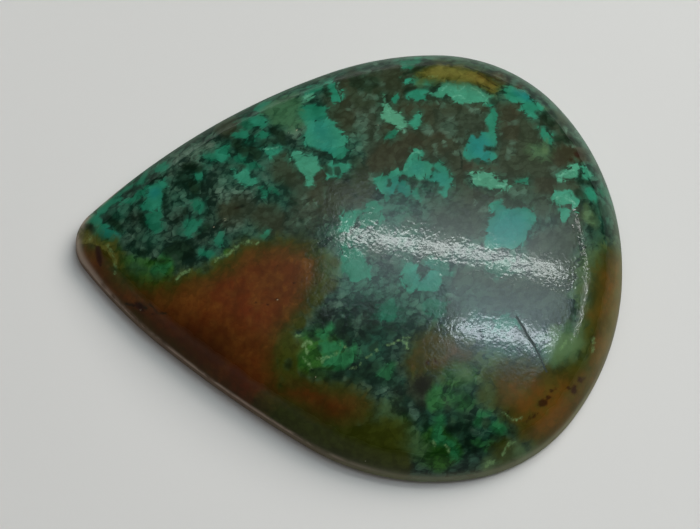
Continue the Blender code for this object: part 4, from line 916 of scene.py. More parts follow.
GRAINS = (  # crowds of pale grains
    (-9.8, 9.1, 0.61, 1), (-10.3, 8.7, 0.61, 0.7), (-14, 5.6, 1.5, 0.8), (-12.4, 6.4, 1.4, 0.9),
    (-11.3, 6.8, 1.1, 0.9), (-10.4, 4.5, 1.1, 0.6), (-9.5, 2.9, 1.4, 0.9), (-8.4, 3.6, 1.1, 0.8),
    (-7.4, 2.8, 1.1, 0.7), (-4.2, 8.9, 0.91, 1), (-4.9, 8, 0.76, 1), (-4, 10.1, 0.76, 0.8),
    (-5.6, 5.9, 0.91, 0.7), (-2.9, 2.2, 1.7, 0.7), (-1.3, 1.7, 1.1, 0.8), (-5.6, 1.3, 1.4, 0.6),
    (-0.9, 11.3, 1.4, 0.8), (0.3, 12.3, 1.1, 0.8), (-0.4, 10, 1.1, 0.6), (0.8, 9.2, 1.1, 0.7),
    (4.8, 10.6, 1.4, 0.6), (7.2, 9.9, 1.4, 0.6), (6.5, 8.6, 1.1, 0.5), (12.2, 8, 0.91, 0.7),
    (11.7, 7.4, 0.76, 0.7), (14.5, 8.1, 1.1, 0.5), (16.5, 6.7, 0.61, 0.6), (-8.8, 0.5, 0.91, 0.9),
    (-10, -0.1, 0.76, 0.8), (-11.1, -0.7, 0.76, 0.6), (-14.9, -1.5, 1.2, 0.7), (-13.5, 0.7, 1.1, 0.5),
    (-12.5, 2.1, 1.1, 0.5), (0.1, -5, 1.4, 0.7), (-1, -6, 0.91, 0.6), (5.6, -5.4, 1.9, 0.6),
    (1.3, -6.8, 1.1, 0.5), (10.5, -13.3, 1.2, 0.8), (9.7, -12.4, 0.91, 0.5), (3.8, -11.4, 1.4, 0.4),
    (-16.3, 1.1, 0.76, 0.7), (-16.9, 2.7, 0.91, 0.6), (-7, 0.5, 1.4, 0.7), (-3.6, -0.2, 1.1, 0.6),
)
airbrush("earth", EARTH)
airbrush("deep", DEEP)
airbrush("forest", FOREST)
airbrush("wash", WASH)
airbrush("grains", GRAINS)

# %% Greens and blue
OLIVE = (  # olive haloes
    (-4.1, -8, 0.76, 1), (-4, -9, 0.76, 1), (-3.9, -10.2, 0.76, 1), (-3.4, -11, 0.68, 0.9),
    (-3.1, -6.8, 0.68, 0.9), (-2.2, -5.1, 0.68, 0.8), (-1.7, -4.2, 0.68, 0.8), (-4, -13.2, 1.1, 1),
    (-1.3, -14.8, 1.4, 1), (0.7, -15.6, 1.1, 1), (-5.6, -12.5, 0.91, 1), (3, -16.1, 1.1, 1),
    (4.8, -16.5, 1.1, 0.9), (7, -8.3, 1.1, 1), (5.8, -9.1, 0.83, 0.8), (12.3, -9.4, 0.91, 0.7),
    (13.4, -9.9, 1.1, 0.55), (12.2, -10.9, 0.68, 0.5), (1.1, -12.5, 0.91, 0.5), (2.1, -13, 0.76, 0.6),
    (-4.3, -8.9, 0.68, 0.8), (-2.8, -11.2, 0.76, 0.5), (-0.2, -11.3, 0.76, 0.5), (4.1, -14.3, 2.3, 0.6),
    (3, -15.6, 2.3, 0.85), (0.7, -14.9, 2, 0.8), (-2.7, -14.1, 2, 0.9), (-5, -12.9, 1.4, 0.8),
    (12.4, -15, 1.7, 0.7), (15, -13.8, 1.4, 0.4), (17.9, -8.1, 0.76, 0.7), (-16.7, -3.1, 0.76, 0.6),
    (-17.8, -2, 0.45, 0.9), (-17.3, -2.8, 0.45, 0.7), (-20.3, 0.1, 0.45, 1), (-20.6, -0.3, 0.38, 0.9),
    (-0.9, -2.2, 0.83, 0.7), (-1.1, -3.9, 0.83, 0.8), (-1.9, -5.1, 0.68, 0.5), (-3, -8.5, 0.76, 0.7),
    (-3.8, -9.6, 0.91, 0.9), (-3.6, -10.6, 0.76, 0.7), (-3.3, -7, 0.61, 0.6), (9.5, -8.9, 0.98, 0.5),
    (11.7, -9.2, 0.91, 0.6), (10.6, -11.2, 0.83, 0.6), (10.8, -9.8, 0.68, 0.7), (-10.5, -2.9, 0.76, 0.6),
    (-9.3, -2.5, 0.53, 0.8), (-13.1, -4.1, 0.68, 0.7), (-14.6, -4.2, 0.68, 0.7), (-11.6, -3.5, 0.61, 0.7),
    (-0.8, -12, 1.1, 0.5), (0.5, -11.4, 0.76, 0.5), (-7.3, -0.9, 0.68, 0.5), (-5.4, -0.8, 0.76, 0.4),
    (-3.2, -1, 0.61, 0.5), (7.4, 14.9, 2.3, 0.5), (4.7, 13.8, 1.1, 0.6),
)
LEAF = (  # leaf green
    (-1, -10.7, 0.53, 0.6), (7.7, -15.4, 0.76, 1), (-14.3, -3.4, 1.3, 1), (-13.6, -2.9, 0.91, 1),
    (-15.5, -2.9, 0.91, 1), (-16.7, -2.4, 0.83, 0.8), (-16, -3.1, 0.68, 0.6), (-17.4, -1.4, 0.53, 0.6),
    (-18.4, -0.7, 0.45, 0.5), (-9.8, -2.5, 0.45, 0.8), (-8.9, -1.7, 0.45, 0.9), (-10.9, -3.1, 0.45, 0.6),
    (7.4, -14.6, 1.4, 1), (7.7, -15.8, 1.1, 0.9), (6.2, -15.7, 1.1, 0.5), (8.8, -15.3, 0.76, 0.8),
    (8.6, -9.6, 1.3, 0.8), (9.5, -9.7, 0.98, 0.7), (8.1, -10.2, 0.83, 0.6), (16.1, -7.6, 0.91, 0.35),
    (16.1, -8.4, 0.76, 0.4), (-1.5, -8.8, 1.8, 1), (-2.7, -9.4, 0.91, 1), (-2, -9.9, 0.91, 0.9),
    (-0.2, -9.3, 1.1, 0.7), (4.6, -14, 1.4, 0.8), (7.1, -11.8, 1.1, 0.6), (12.3, -12.7, 0.68, 0.4),
    (12.2, -15.9, 0.68, 0.5), (4.7, 13.2, 1.1, 0.3), (14.6, 12.3, 0.68, 0.4),
)
MILKY = (  # milky green
    (18, 3.2, 0.83, 0.7), (8, -12.1, 0.76, 0.4), (8.4, -13.4, 0.68, 0.35), (10.7, -13.1, 0.68, 0.4),
    (11.7, -13.6, 0.61, 0.35), (7.4, -11.3, 0.68, 0.3), (16.1, -7.1, 1.1, 0.9), (17, -6.7, 0.76, 0.8),
    (15.6, -6, 0.68, 0.7), (15.8, -8.2, 0.68, 0.6), (17.8, -6.8, 0.53, 0.5), (11.3, -16, 0.76, 0.8),
    (12.5, -15.5, 0.68, 0.85), (13.6, -14.9, 0.76, 0.8), (14.7, -14.2, 0.68, 0.7), (12.9, -14.5, 0.68, 0.4),
    (10, -16.4, 0.68, 0.35), (18.6, 2.6, 0.68, 0.45), (19.1, 1.5, 0.61, 0.4), (8.6, -9.7, 0.91, 0.5),
    (9.5, -9.9, 0.76, 0.5), (-5.5, 10.1, 0.76, 0.25), (14.5, 8.3, 0.61, 0.5), (4.7, 13.2, 0.61, 0.6),
    (6, 13.3, 0.61, 0.4), (17.8, 4.1, 0.45, 0.5), (10.6, -10.1, 0.61, 0.3),
)
BLUE = (  # bluer turquoise
    (9.5, 7.9, 1.2, 1), (13.1, 13.2, 0.61, 1), (12.4, 13.4, 0.53, 0.7), (12.2, 1.7, 1.8, 0.9),
    (11.3, 0.8, 1.4, 0.7), (-18.4, 0, 0.61, 0.4), (-17.5, -0.3, 0.3, 0.8), (-15, 3.2, 0.53, 0.8),
    (-2.7, 8.7, 0.91, 0.5), (-2.2, 7.3, 1.1, 0.4), (10, 7, 0.61, 0.6), (4.8, 5.7, 0.76, 0.4),
    (6.6, 4.9, 0.91, 0.5), (3.6, 3.8, 1.2, 0.4), (8.2, 2.1, 2.3, 0.3), (5.8, -2.8, 1.5, 0.4),
    (3.3, 4, 0.91, 0.3), (9.1, 9, 0.76, 0.6),
)
airbrush("olive", OLIVE)
airbrush("leaf", LEAF)
airbrush("milky", MILKY)
airbrush("blue", BLUE)

# %% Browns
RUST = (  # amber glow
    (18.3, -4.3, 0.68, 0.55), (15.9, -11.4, 2.3, 0.9), (14.9, -12.5, 1.7, 0.9), (18.2, -9.5, 1.2, 0.45),
    (20, -1.5, 1.1, 0.9), (20.1, -3.7, 1.1, 0.8), (19.5, -6.4, 0.91, 0.8), (13.7, -11.3, 1.5, 0.7),
    (12.5, -10, 1.1, 0.5), (9.4, 14.3, 0.61, 0.7), (10.2, 13.8, 0.53, 0.8), (8.6, 14.5, 0.45, 0.5),
    (11, 14.6, 0.76, 0.7), (12.6, 13.9, 0.61, 0.5),
)
RED = (  # red brown
    (-17, -5, 2, 0.7), (-18.7, -3.2, 1.4, 0.6), (-18.3, -4.2, 1.2, 0.5), (-7.7, -5.3, 2, 0.55),
    (-6.5, -6.4, 1.5, 0.8), (-8.9, -4.2, 1.5, 0.5), (-10.6, -7.1, 2, 0.6), (-8.1, -10.6, 1.5, 0.7),
    (-6.9, -11.6, 1.5, 0.8), (-5.5, -10, 1.1, 0.5), (-2.7, -11.5, 1.1, 1), (-1.6, -12, 0.98, 1),
    (-0.5, -12.6, 0.91, 0.8), (0.9, -12.2, 1.1, 0.6), (-13.3, -7.3, 1.2, 0.6), (17.2, 8.2, 0.68, 1),
    (16.6, 8, 0.45, 0.8), (-19.5, -1, 0.61, 0.6), (-4.5, -8.5, 0.61, 0.4),
)
DUSK = (  # dark brown
    (-14.5, -6.6, 2, 0.5), (-12.5, -8.4, 2, 0.8), (-10.5, -9.2, 1.8, 0.8), (-9.3, -8.9, 1.7, 0.7),
    (-11.3, -7.8, 1.2, 0.5), (-7.7, -11.2, 1.2, 0.4), (-15.3, -5.9, 0.76, 0.8), (-17, -5.2, 0.68, 0.6),
    (-1.2, -14, 1.7, 0.6), (-2.7, -13.3, 1.2, 0.5), (1.1, -14.6, 1.4, 0.6), (4.1, -16.4, 1.8, 0.5),
    (-17.9, -3.6, 0.91, 0.3), (-6.5, -12.2, 1.1, 0.4), (-5, -11.3, 0.91, 0.3),
)
airbrush("rust", RUST)
airbrush("red", RED)
airbrush("dusk", DUSK)

# %% Spots and painted glints
SPECKS = (  # dark iron spots and pits
    (6.1, -10.8, 0.91, 0.7), (4.4, -11.5, 0.91, 0.5), (4.3, -12.7, 0.76, 0.4), (-1.3, -6.1, 0.83, 0.6),
    (1.9, -5.7, 1.1, 0.5), (2.1, -6.8, 0.76, 0.45), (-12.8, 1.2, 0.91, 0.45), (-5.9, 7.2, 0.76, 0.4),
    (-16.5, 1.2, 0.76, 0.4), (6, -12.4, 0.61, 0.35), (17.4, -10.1, 0.3, 0.5), (17.1, 8.4, 0.34, 0.75),
    (16.6, 7.8, 0.18, 0.6), (15.1, -11.3, 0.27, 1), (14.9, -11.4, 0.23, 0.9), (15.4, -10.9, 0.18, 0.9),
    (15.6, -10.4, 0.15, 0.8), (15.9, -10.2, 0.12, 0.6), (17.3, -10.1, 0.2, 1), (16.9, -10, 0.14, 0.8),
    (17.4, -9.8, 0.15, 0.7), (17.8, -9.3, 0.21, 0.95), (18.1, -9.1, 0.15, 0.7), (17.6, -9.1, 0.11, 0.5),
    (14.4, -12.3, 0.18, 0.8), (14.1, -12.5, 0.14, 0.7), (14.7, -12.1, 0.11, 0.6), (13.9, -12.7, 0.11, 0.6),
    (12.5, -12.3, 0.12, 0.7), (13.7, -8.9, 0.11, 0.5), (6.4, -9.2, 0.23, 0.6), (7, -9.1, 0.18, 0.6),
    (6.8, -8.9, 0.12, 0.5), (-18.9, -1.8, 0.14, 0.9), (-19, -1.5, 0.12, 0.8), (-18.9, -2.1, 0.11, 0.8),
    (-15.9, -5.5, 0.12, 0.8), (-15.7, -5.6, 0.11, 0.7), (-13.6, -6.2, 0.12, 0.7), (-14.3, -6.2, 0.11, 0.6),
    (-5.6, -5.6, 0.12, 0.7), (-6, -5.5, 0.091, 0.5), (-5, -5.2, 0.12, 0.6), (-6.5, -5.5, 0.12, 0.6),
    (-3.8, -3.9, 0.11, 0.6), (-3.2, -3.7, 0.091, 0.6), (-2.1, -3.9, 0.11, 0.6), (-8.6, -2.8, 0.14, 0.3),
    (-8.1, 2, 0.15, 0.9), (-8.4, 1.9, 0.12, 0.8), (-8.6, 1.8, 0.12, 0.8), (-7.5, 2.2, 0.091, 0.6),
    (-9.6, 0.7, 0.2, 0.9), (-9.2, 0.7, 0.12, 0.8), (-9.9, 0.5, 0.12, 0.6), (-10, 0.2, 0.091, 0.6),
    (-0.9, -10.9, 0.3, 0.5), (-15.3, -5.6, 0.23, 0.6),
)
# painted highlights: small pale dabs where the polish catches the light, as at the chip by the tip
GLINT_HIGHLIGHTS = (  # pale crystal glints
    (-8.1, 2, 0.053, 1), (-7.8, 2.1, 0.045, 0.8), (-9.3, 0.9, 0.12, 0.8), (-9.1, 1, 0.091, 0.9),
    (-9.4, 0.9, 0.076, 0.6), (-10.1, 0.3, 0.11, 0.7), (-6.3, 1.7, 0.076, 0.7), (-15.3, -5.8, 0.15, 0.7),
    (-4.9, -5.2, 0.061, 0.9), (-1.7, -10.7, 0.091, 0.8), (0.2, -10.8, 0.068, 0.6), (2.3, -16.2, 0.076, 0.7),
    (-4.5, 8.5, 0.11, 0.8), (-4.9, 8.8, 0.091, 0.6), (-5.1, 8.2, 0.076, 0.8), (-4.1, 9.4, 0.076, 0.5),
    (-3.9, 8.9, 0.076, 0.5), (0.1, 3.5, 0.076, 0.6), (-0.1, 4.1, 0.076, 0.6), (1.7, 9.2, 0.18, 0.5),
    (-4.3, -1.6, 0.076, 0.5), (8.1, -15.4, 0.076, 0.7), (8.2, -15.2, 0.061, 0.5), (11.4, 7.4, 0.18, 0.35),
    (11.8, 7.9, 0.17, 0.3),
)
airbrush("specks", SPECKS)
airbrush("glint_highlights", GLINT_HIGHLIGHTS)

# %% [markdown]
# ## Small damage
# The tip has a deep pit, the near flank a chip, and a healed crack crosses the round end. They are real
# hollows in the mesh, a few hundredths of a millimetre deep, because light catches in a hollow from every
# side. The rim is measured here too: it is where handling has dulled the polish.

# %% Relief
CRACK = ((12.8, -5.35), (14.18, -7.38), (15.15, -9.1))
CRACK_DEPTH, PIT_DEPTH, CHIP_DEPTH = 0.012, 0.06, 0.05
RIM_WIDTH = 2.1


def groove(start, end, half_width):
    """How deep a place lies in a groove from start to end: 1 on its line, 0 beyond its width."""
    start, run = np.array(start), np.array(end) - np.array(start)
    share = np.clip(((where - start) @ run) / (run @ run), 0.0, 1.0)
    taper = np.sin(np.clip(share, 0.02, 0.98) * math.pi) ** 0.5
    gap = np.linalg.norm(where - (start + share[:, None] * run), axis=1)
    return np.clip(1.0 - gap / (half_width * taper), 0.0, 1.0)


crack = groove(CRACK[0], CRACK[2], half_width=0.26)
tip_pit = groove((-19.15, -0.9), (-18.75, -2.45), half_width=0.40)
chip = groove((-15.75, -5.3), (-15.05, -5.95), half_width=0.30)
marks["pits"] = np.maximum(tip_pit, chip * 0.8)
marks["rim"] = np.clip(1.0 + to_polygon(where, OUTLINE) / RIM_WIDTH, 0.0, 1.0)
relief = -CRACK_DEPTH * crack - PIT_DEPTH * tip_pit - CHIP_DEPTH * chip
points[:len(plan), 2] += relief[:len(plan)]
print("deepest hollow:", relief[:len(plan)].min().round(3), "mm")

# %% [markdown]
# ## The stone as one mesh
# The grid, the wall, the bevel and the base share their border points, so they join into one closed body,
# and every marking becomes an attribute on its points. Smooth shading hides the facets.

# %% Build the stone
mesh = bpy.data.meshes.new("polished_stone")
quads = np.concatenate([faces] + skirt)
mesh.from_pydata((points * MM).tolist(), [], quads.tolist() + fan.tolist())
mesh.update()
for name, values in marks.items():
    mesh.attributes.new(name, "FLOAT", "POINT").data.foreach_set("value", values.astype(np.float32))
mesh.shade_smooth()
stone = bpy.data.objects.new("polished_stone", mesh)
bpy.context.scene.collection.objects.link(stone)
print("stone:", len(mesh.vertices), "points,", sum(len(p.vertices) - 2 for p in mesh.polygons), "triangles")

# %% [markdown]
# ## Shader arithmetic in Python
# A shader is easier to read as sums than as a web of nodes. This small class wraps a socket, so that `1 -
# mask` adds the Math node it stands for. Everything else comes from `node`, which sets the node's options
# first and then its sockets.

# %% Socket arithmetic
class Socket:
    """A socket that takes part in sums."""

    def __init__(self, board, link):
        self.board, self.link = board, link

    def maths(self, operation, *values, clamp=False):
        settings = {"operation": operation, "use_clamp": clamp}
        return self.board.node("ShaderNodeMath", settings, dict(enumerate(values)))["Value"]

    def __add__(self, other):
        return self.maths("ADD", self, other)

    def __sub__(self, other):
        return self.maths("SUBTRACT", self, other)

    def __rsub__(self, other):
        return self.maths("SUBTRACT", other, self)

    def __mul__(self, other):
        return self.maths("MULTIPLY", self, other)

    def __abs__(self):
        return self.maths("ABSOLUTE", self)

    __radd__, __rmul__ = __add__, __mul__

    def clamp(self):
        return self.maths("ADD", self, 0.0, clamp=True)

    def most(self, other):
        return self.maths("MAXIMUM", self, other)

    def ramp(self, low, high):
        """0 below low, 1 above high, and an S curve between. With low above high it runs the other way."""
        settings = {"interpolation_type": "SMOOTHSTEP"}
        sockets = {"Value": self, "From Min": low, "From Max": high}
        return self.board.node("ShaderNodeMapRange", settings, sockets)["Result"]


# %% A material's nodes
class Board:
    """A new material and what is wired on it."""

    def __init__(self, name):
        self.material = bpy.data.materials.new(name)
        self.material.use_nodes = True
        self.tree = self.material.node_tree
        self.shader = self.tree.nodes["Principled BSDF"]

    def node(self, kind, settings=None, sockets=None):
        """A new node's outputs by name. Where a name comes twice, the first of the enabled outputs has it."""
        made = self.tree.nodes.new(kind)
        for key, value in (settings or {}).items():
            setattr(made, key, value)
        self.fill(made, sockets or {})
        return {out.name: Socket(self, out) for out in reversed(made.outputs) if out.enabled}

    def fill(self, made, sockets):
        """Link or set inputs, by their name or their number."""
        for key, value in sockets.items():
            slot = made.inputs[key] if isinstance(key, int) else next(
                s for s in made.inputs if s.name == key and s.enabled)
            if isinstance(value, Socket):
                self.tree.links.new(value.link, slot)
            else:
                slot.default_value = value

    def vectors(self, operation, *values, **sockets):
        sockets = {**dict(enumerate(values)), **sockets}
        return self.node("ShaderNodeVectorMath", {"operation": operation}, sockets)

    def mark(self, name):
        return self.node("ShaderNodeAttribute", {"attribute_name": name})["Fac"]

    def mix(self, first, second, share):
        first, second = (c if isinstance(c, Socket) else (*c, 1.0) for c in (first, second))
        sockets = {"Factor": share, "A": first, "B": second}
        return self.node("ShaderNodeMix", {"data_type": "RGBA"}, sockets)["Result"]


def srgb(red, green, blue):
    """A colour as a painter reads it off a chart, 0 to 255, turned into light by the screen's own curve."""
    shares = (v / 255 for v in (red, green, blue))
    return tuple(v / 12.92 if v < 0.04 else ((v + 0.055) / 1.055) ** 2.4 for v in shares)


print("teal as light:", [round(v, 3) for v in srgb(48, 150, 122)])

# %% [markdown]
# ## Grain of the broken rock
# Under the turquoise lies a breccia: splinters a few tenths of a millimetre across, grey green on nearly
# black, and most of them lean the same way, because the rock was squeezed. Noise that is read through
# stretched and turned coordinates gives leaning splinters, and two mosaics of cells give the flat angular
# chips between them. One value, `crumb`, runs through every colour below, so the same grain shows through
# brown, olive and green.

# %% Noise and cells
board = Board("turquoise_in_rock")
in_mm = board.vectors("SCALE", board.node("ShaderNodeTexCoord")["Object"], Scale=1 / MM)["Vector"]


def cloud(scale, detail=2.0, rough=0.5, seed=0.0, vector=None, tint=False, swirl=0.0):
    """Noise with about `scale` features a millimetre. Each seed gives another pattern."""
    settings = {"noise_dimensions": "4D"}
    sockets = {"Vector": vector or in_mm, "W": seed, "Scale": scale, "Detail": detail, "Roughness": rough,
               "Distortion": swirl}
    return board.node("ShaderNodeTexNoise", settings, sockets)["Color" if tint else "Fac"]


def bent(amount, scale, seed):
    """Places pushed about by noise, in millimetres."""
    push = board.vectors("SUBTRACT", cloud(scale, seed=seed, tint=True), (0.5, 0.5, 0.5))["Vector"]
    return board.vectors("MULTIPLY_ADD", push, (amount, amount, amount), in_mm)["Vector"]


def leaning(vector, degrees, stretch):
    """Coordinates in which round features come out stretched along a direction."""
    sockets = {"Vector": vector, "Rotation": (0.0, 0.0, math.radians(degrees)), "Scale": (stretch, 1.0, 1.0)}
    return board.node("ShaderNodeMapping", {"vector_type": "TEXTURE"}, sockets)["Vector"]


def cells(scale, vector):
    """A mosaic of flat pieces, about `scale` to a millimetre: a random value for each, and the way to its
    middle. A Math node turns the random colour into a value."""
    made = board.node("ShaderNodeTexVoronoi", None, {"Vector": vector, "Scale": scale})
    return made["Color"] * 1.0, made["Distance"]


# %% Grain
MAIN_LEAN = 62.0  # degrees from the stone's length

crooked = bent(0.9, 0.7, seed=1.0)
pieces, to_piece = cells(1.55, leaning(bent(1.3, 0.55, seed=1.0), MAIN_LEAN, 1.7))
chips, to_chip = cells(2.6, leaning(bent(1.0, 0.8, seed=2.0), 15.0, 1.5))
splinter = cloud(2.1, seed=21.0, vector=leaning(crooked, MAIN_LEAN, 2.3), swirl=0.5).ramp(0.44, 0.60)
sliver = cloud(3.0, seed=22.0, vector=leaning(crooked, 20.0, 1.9), swirl=0.6).ramp(0.45, 0.64)
drift = cloud(0.55, 3.0, 0.6, seed=2.0)
dust = cloud(7.0, 3.0, 0.6, seed=3.0)
gaps = to_piece.ramp(0.44, 0.72) * 0.15 + to_chip.ramp(0.44, 0.72) * 0.15
crumb = (pieces * 0.48 + chips * 0.46 + splinter * 0.14 + sliver * 0.10 + (dust - 0.5) * 0.12
         + (drift - 0.5) * 0.4 + 0.04 - gaps).ramp(0.16, 0.84)
# what shifts a crisp edge: by whole pieces and chips, and a little by noise
step = (pieces - 0.5) * 0.42 + (chips - 0.5) * 0.42 + (cloud(2.6, 3.0, 0.55, seed=6.0) - 0.5) * 0.45
print("nodes so far:", len(board.tree.nodes))

# %% [markdown]
# ## Colours, laid from the ground up
# Each layer is a pair of colours, dark and light, that `crumb` chooses between, and a mask that says where
# the layer lies. The crisp masks cut the stored distance at one half, after noise has shifted it, which
# gives the stepped edge of a filled crack. The soft masks only blend. The ground comes first: grey green,
# umber, a dark forest green and nearly black, with crowds of pale grains.

# %% Ground, umber and black
def layer(below, dark, light, share, value=None):
    """A layer over the ones below: dark and light in srgb, mixed by value, laid on where share is."""
    shade = board.mix(srgb(*dark), srgb(*light), crumb if value is None else value)
    return board.mix(below, shade, share)


ground = board.mix(srgb(14, 34, 24), srgb(60, 88, 70), crumb)
ground = layer(ground, (18, 42, 33), (50, 92, 76), drift.ramp(0.40, 0.70) * 0.6)
earth = (board.mark("earth") + (cloud(1.0, 3.0, 0.6, seed=4.0) - 0.5) * 0.6).ramp(0.15, 0.65)
ground = layer(ground, (38, 46, 30), (60, 70, 52), earth * 0.88, crumb * 0.6 + 0.2)
forest = (board.mark("forest") + (pieces - 0.5) * 0.2).ramp(0.2, 0.8)
ground = layer(ground, (10, 34, 20), (34, 74, 48), forest * 0.8)
deep = board.mark("deep") + (pieces - 0.5) * 0.30 + (cloud(1.8, 3.0, 0.6, seed=5.0) - 0.5) * 0.6
ground = layer(ground, (8, 26, 16), (26, 54, 38), deep.ramp(0.35, 0.75) * 0.85)
crowd = board.mark("grains").ramp(0.3, 1.0) * (sliver * 0.3 + chips * 0.5) * (1 - earth * 0.5)
ground = layer(ground, (34, 50, 40), (118, 138, 118), crowd)
umber = (board.mark("umber") + step * 0.35).ramp(0.22, 0.58)
umber_tone = board.mark("umber_tone")
umber_dark = board.mix(srgb(36, 46, 28), srgb(46, 42, 26), umber_tone)
umber_light = board.mix(srgb(56, 70, 50), srgb(64, 64, 44), umber_tone)
ground = board.mix(ground, board.mix(umber_dark, umber_light, crumb * 0.7 + 0.15), umber * 0.92)

# %% Dark splinters and pale flecks
fleck = (board.mark("pale") + step * 0.7).ramp(0.36, 0.70) * (board.mark("pale_tone") * 0.7 + 0.3).clamp()
ground = layer(ground, (48, 78, 62), (96, 126, 104), fleck * (crumb * 0.5 + 0.32), chips)
shard = (board.mark("dark") + step * 0.75).ramp(0.34, 0.66) * board.mark("dark_tone")
ground = layer(ground, (7, 26, 16), (24, 54, 38), shard * 0.8)
print("nodes with the ground:", len(board.tree.nodes))

# %% [markdown]
# ### Turquoise over the ground
# Round each patch a thin wash of its colour soaks into the ground. The patch itself runs from dull to pale
# by its own tone, with blotches, a bluer note in a few places, and the grain showing through faintly.

# %% Turquoise
tone = board.mark("teal_tone")
wash = (board.mark("teal") + step * 0.6).ramp(0.14, 0.50) * 0.5
wash = wash.most(board.mark("wash") * 0.8) * (1 - shard * 0.8)
colour = layer(ground, (14, 58, 42), (46, 112, 88), wash * (1 - earth * 0.5))
teal_share = (board.mark("teal") + step * 0.52).ramp(0.43, 0.57) * (tone * 2.0 + 0.35).clamp()
teal_share = teal_share * (1 - shard * 0.8)
blotch = tone * 1.3 + (cloud(0.9, 3.0, 0.55, seed=7.0) - 0.5) * 0.7 + (pieces - 0.5) * 0.25 - 0.08
blotch = blotch.clamp()
teal = board.mix(srgb(10, 90, 62), srgb(58, 150, 120), blotch)
teal = board.mix(teal, srgb(98, 148, 112), tone.ramp(0.5, 0.95) * (blotch * 0.35 + 0.45))
teal = board.mix(teal, srgb(18, 118, 118), board.mark("blue") * 0.7)
palest = cloud(3.0, 3.0, 0.6, seed=8.0).ramp(0.54, 0.74) * tone.ramp(0.45, 0.75)
teal = board.mix(teal, srgb(104, 176, 142), palest * 0.55)
teal = board.mix(teal, srgb(12, 66, 46), (1 - crumb) * 0.20)
colour = board.mix(colour, teal, teal_share)
mint = (board.mark("mint") + (cloud(3.4, 4.0, 0.65, seed=25.0) - 0.5) * 1.3).ramp(0.36, 0.86)
colour = board.mix(colour, srgb(122, 190, 158), mint * 0.6)

# %% [markdown]
# ### Greens
# Leaf green and moss are soft, the green patches are crisp, and a milky green veil lies over a few places.
# Shards of dark rock cut through all of them.

# %% Leaf, moss and green
leaf = (board.mark("leaf") + (cloud(1.6, 3.0, 0.55, seed=9.0) - 0.5) * 0.5).ramp(0.25, 0.80)
colour = layer(colour, (20, 54, 8), (54, 104, 28), leaf * (1 - shard * 0.7) * 0.85)
moss = (board.mark("moss") + step * 0.6).ramp(0.22, 0.72) * (1 - shard * 0.8)
moss_dark = board.mix(srgb(32, 74, 46), srgb(46, 54, 12), board.mark("moss_tone"))
moss_light = board.mix(srgb(68, 108, 72), srgb(84, 92, 44), board.mark("moss_tone"))
colour = board.mix(colour, board.mix(moss_dark, moss_light, crumb * 0.5 + 0.4), moss * 0.8)
milky = (board.mark("milky") + step * 0.35).ramp(0.2, 0.8) * (1 - shard * 0.5)
colour = board.mix(colour, srgb(88, 114, 72), milky * 0.72)
green = (board.mark("green") + step * 0.48).ramp(0.30, 0.70) * (board.mark("green_tone") * 1.2 + 0.35).clamp()
green_pick = cloud(1.2, 3.0, 0.6, seed=10.0) + (pieces - 0.5) * 0.4 + (chips - 0.5) * 0.3
green_pick = green_pick.ramp(0.25, 0.75)
bluish = board.mix(srgb(18, 70, 34), srgb(44, 116, 70), green_pick)
leafy = board.mix(srgb(28, 66, 10), srgb(58, 110, 32), green_pick)
green_mix = board.mix(leafy, bluish, board.mark("green_tone").ramp(0.05, 0.35))
colour = board.mix(colour, green_mix, green * (1 - shard * 0.8))

# %% [markdown]
# ### Brown rock
# The rock's edge is the stored distance, worn ragged by noise. Olive lies in a halo just outside it, and
# inside the brown runs from amber to red and dusk in clouds, with the grain of the rock showing through.

# %% Olive halo
olive = (board.mark("olive") + (cloud(1.2, 3.0, 0.55, seed=11.0) - 0.5) * 0.5).ramp(0.25, 0.85)
rock_edge = board.mark("rock") + (cloud(1.0, 4.0, 0.6, seed=12.0) - 0.5) * 0.30 + step * 0.25
halo = (olive * 0.94).most(rock_edge.ramp(0.14, 0.52) * 0.9) * (1 - shard * 0.5)
colour = layer(colour, (42, 46, 2), (66, 70, 12), halo, crumb * 0.5 + 0.2)
print("nodes with the olive:", len(board.tree.nodes))

# %% Brown rock in the colours
rock = rock_edge.ramp(0.36, 0.66)
rock_tone = board.mark("rock_tone")
patchy = cloud(0.8, 4.0, 0.65, seed=13.0).ramp(0.36, 0.64) * 0.75 + pieces * 0.15 + chips * 0.1
brown = board.mix(srgb(84, 40, 12), srgb(112, 68, 24), patchy)
reddened = board.mark("red") * cloud(1.2, 3.0, 0.6, seed=14.0).ramp(0.2, 0.65)
brown = board.mix(brown, srgb(96, 36, 10), reddened * 0.8)
brown = board.mix(brown, srgb(58, 26, 8), board.mark("dusk") * 0.8)
brown = board.mix(brown, board.mix(srgb(72, 72, 22), srgb(98, 62, 16), patchy), rock_tone.ramp(0.2, 0.9))
# tones above 1 lighten the brown to pale olive; on the olive band by the far rim this is partly painted
# highlight
pale_rock_and_sheen = rock_tone.ramp(0.95, 1.15)
brown = board.mix(brown, srgb(124, 120, 56), pale_rock_and_sheen)
brown = board.mix(brown, srgb(60, 54, 12), (1 - rock_edge.ramp(0.5, 0.95)) * (1 - pale_rock_and_sheen * 0.7) * 0.7)
brown = board.mix(brown, srgb(48, 26, 8), (1 - crumb) * 0.28)
colour = board.mix(colour, brown, rock)
colour = layer(colour, (32, 38, 8), (68, 72, 26), olive * rock * 0.6, patchy)
colour = board.mix(colour, srgb(108, 70, 22), board.mark("rust") * (patchy * 0.5 + 0.1))
colour = layer(colour, (8, 20, 6), (30, 40, 12), shard * 0.35)
print("nodes with the rock:", len(board.tree.nodes))

# %% [markdown]
# ### Veins, spots and the crack
# These lie over everything else. The crack's line is finer than the mesh, so it is drawn in the material as
# the distance to a straight stroke that noise makes waver.

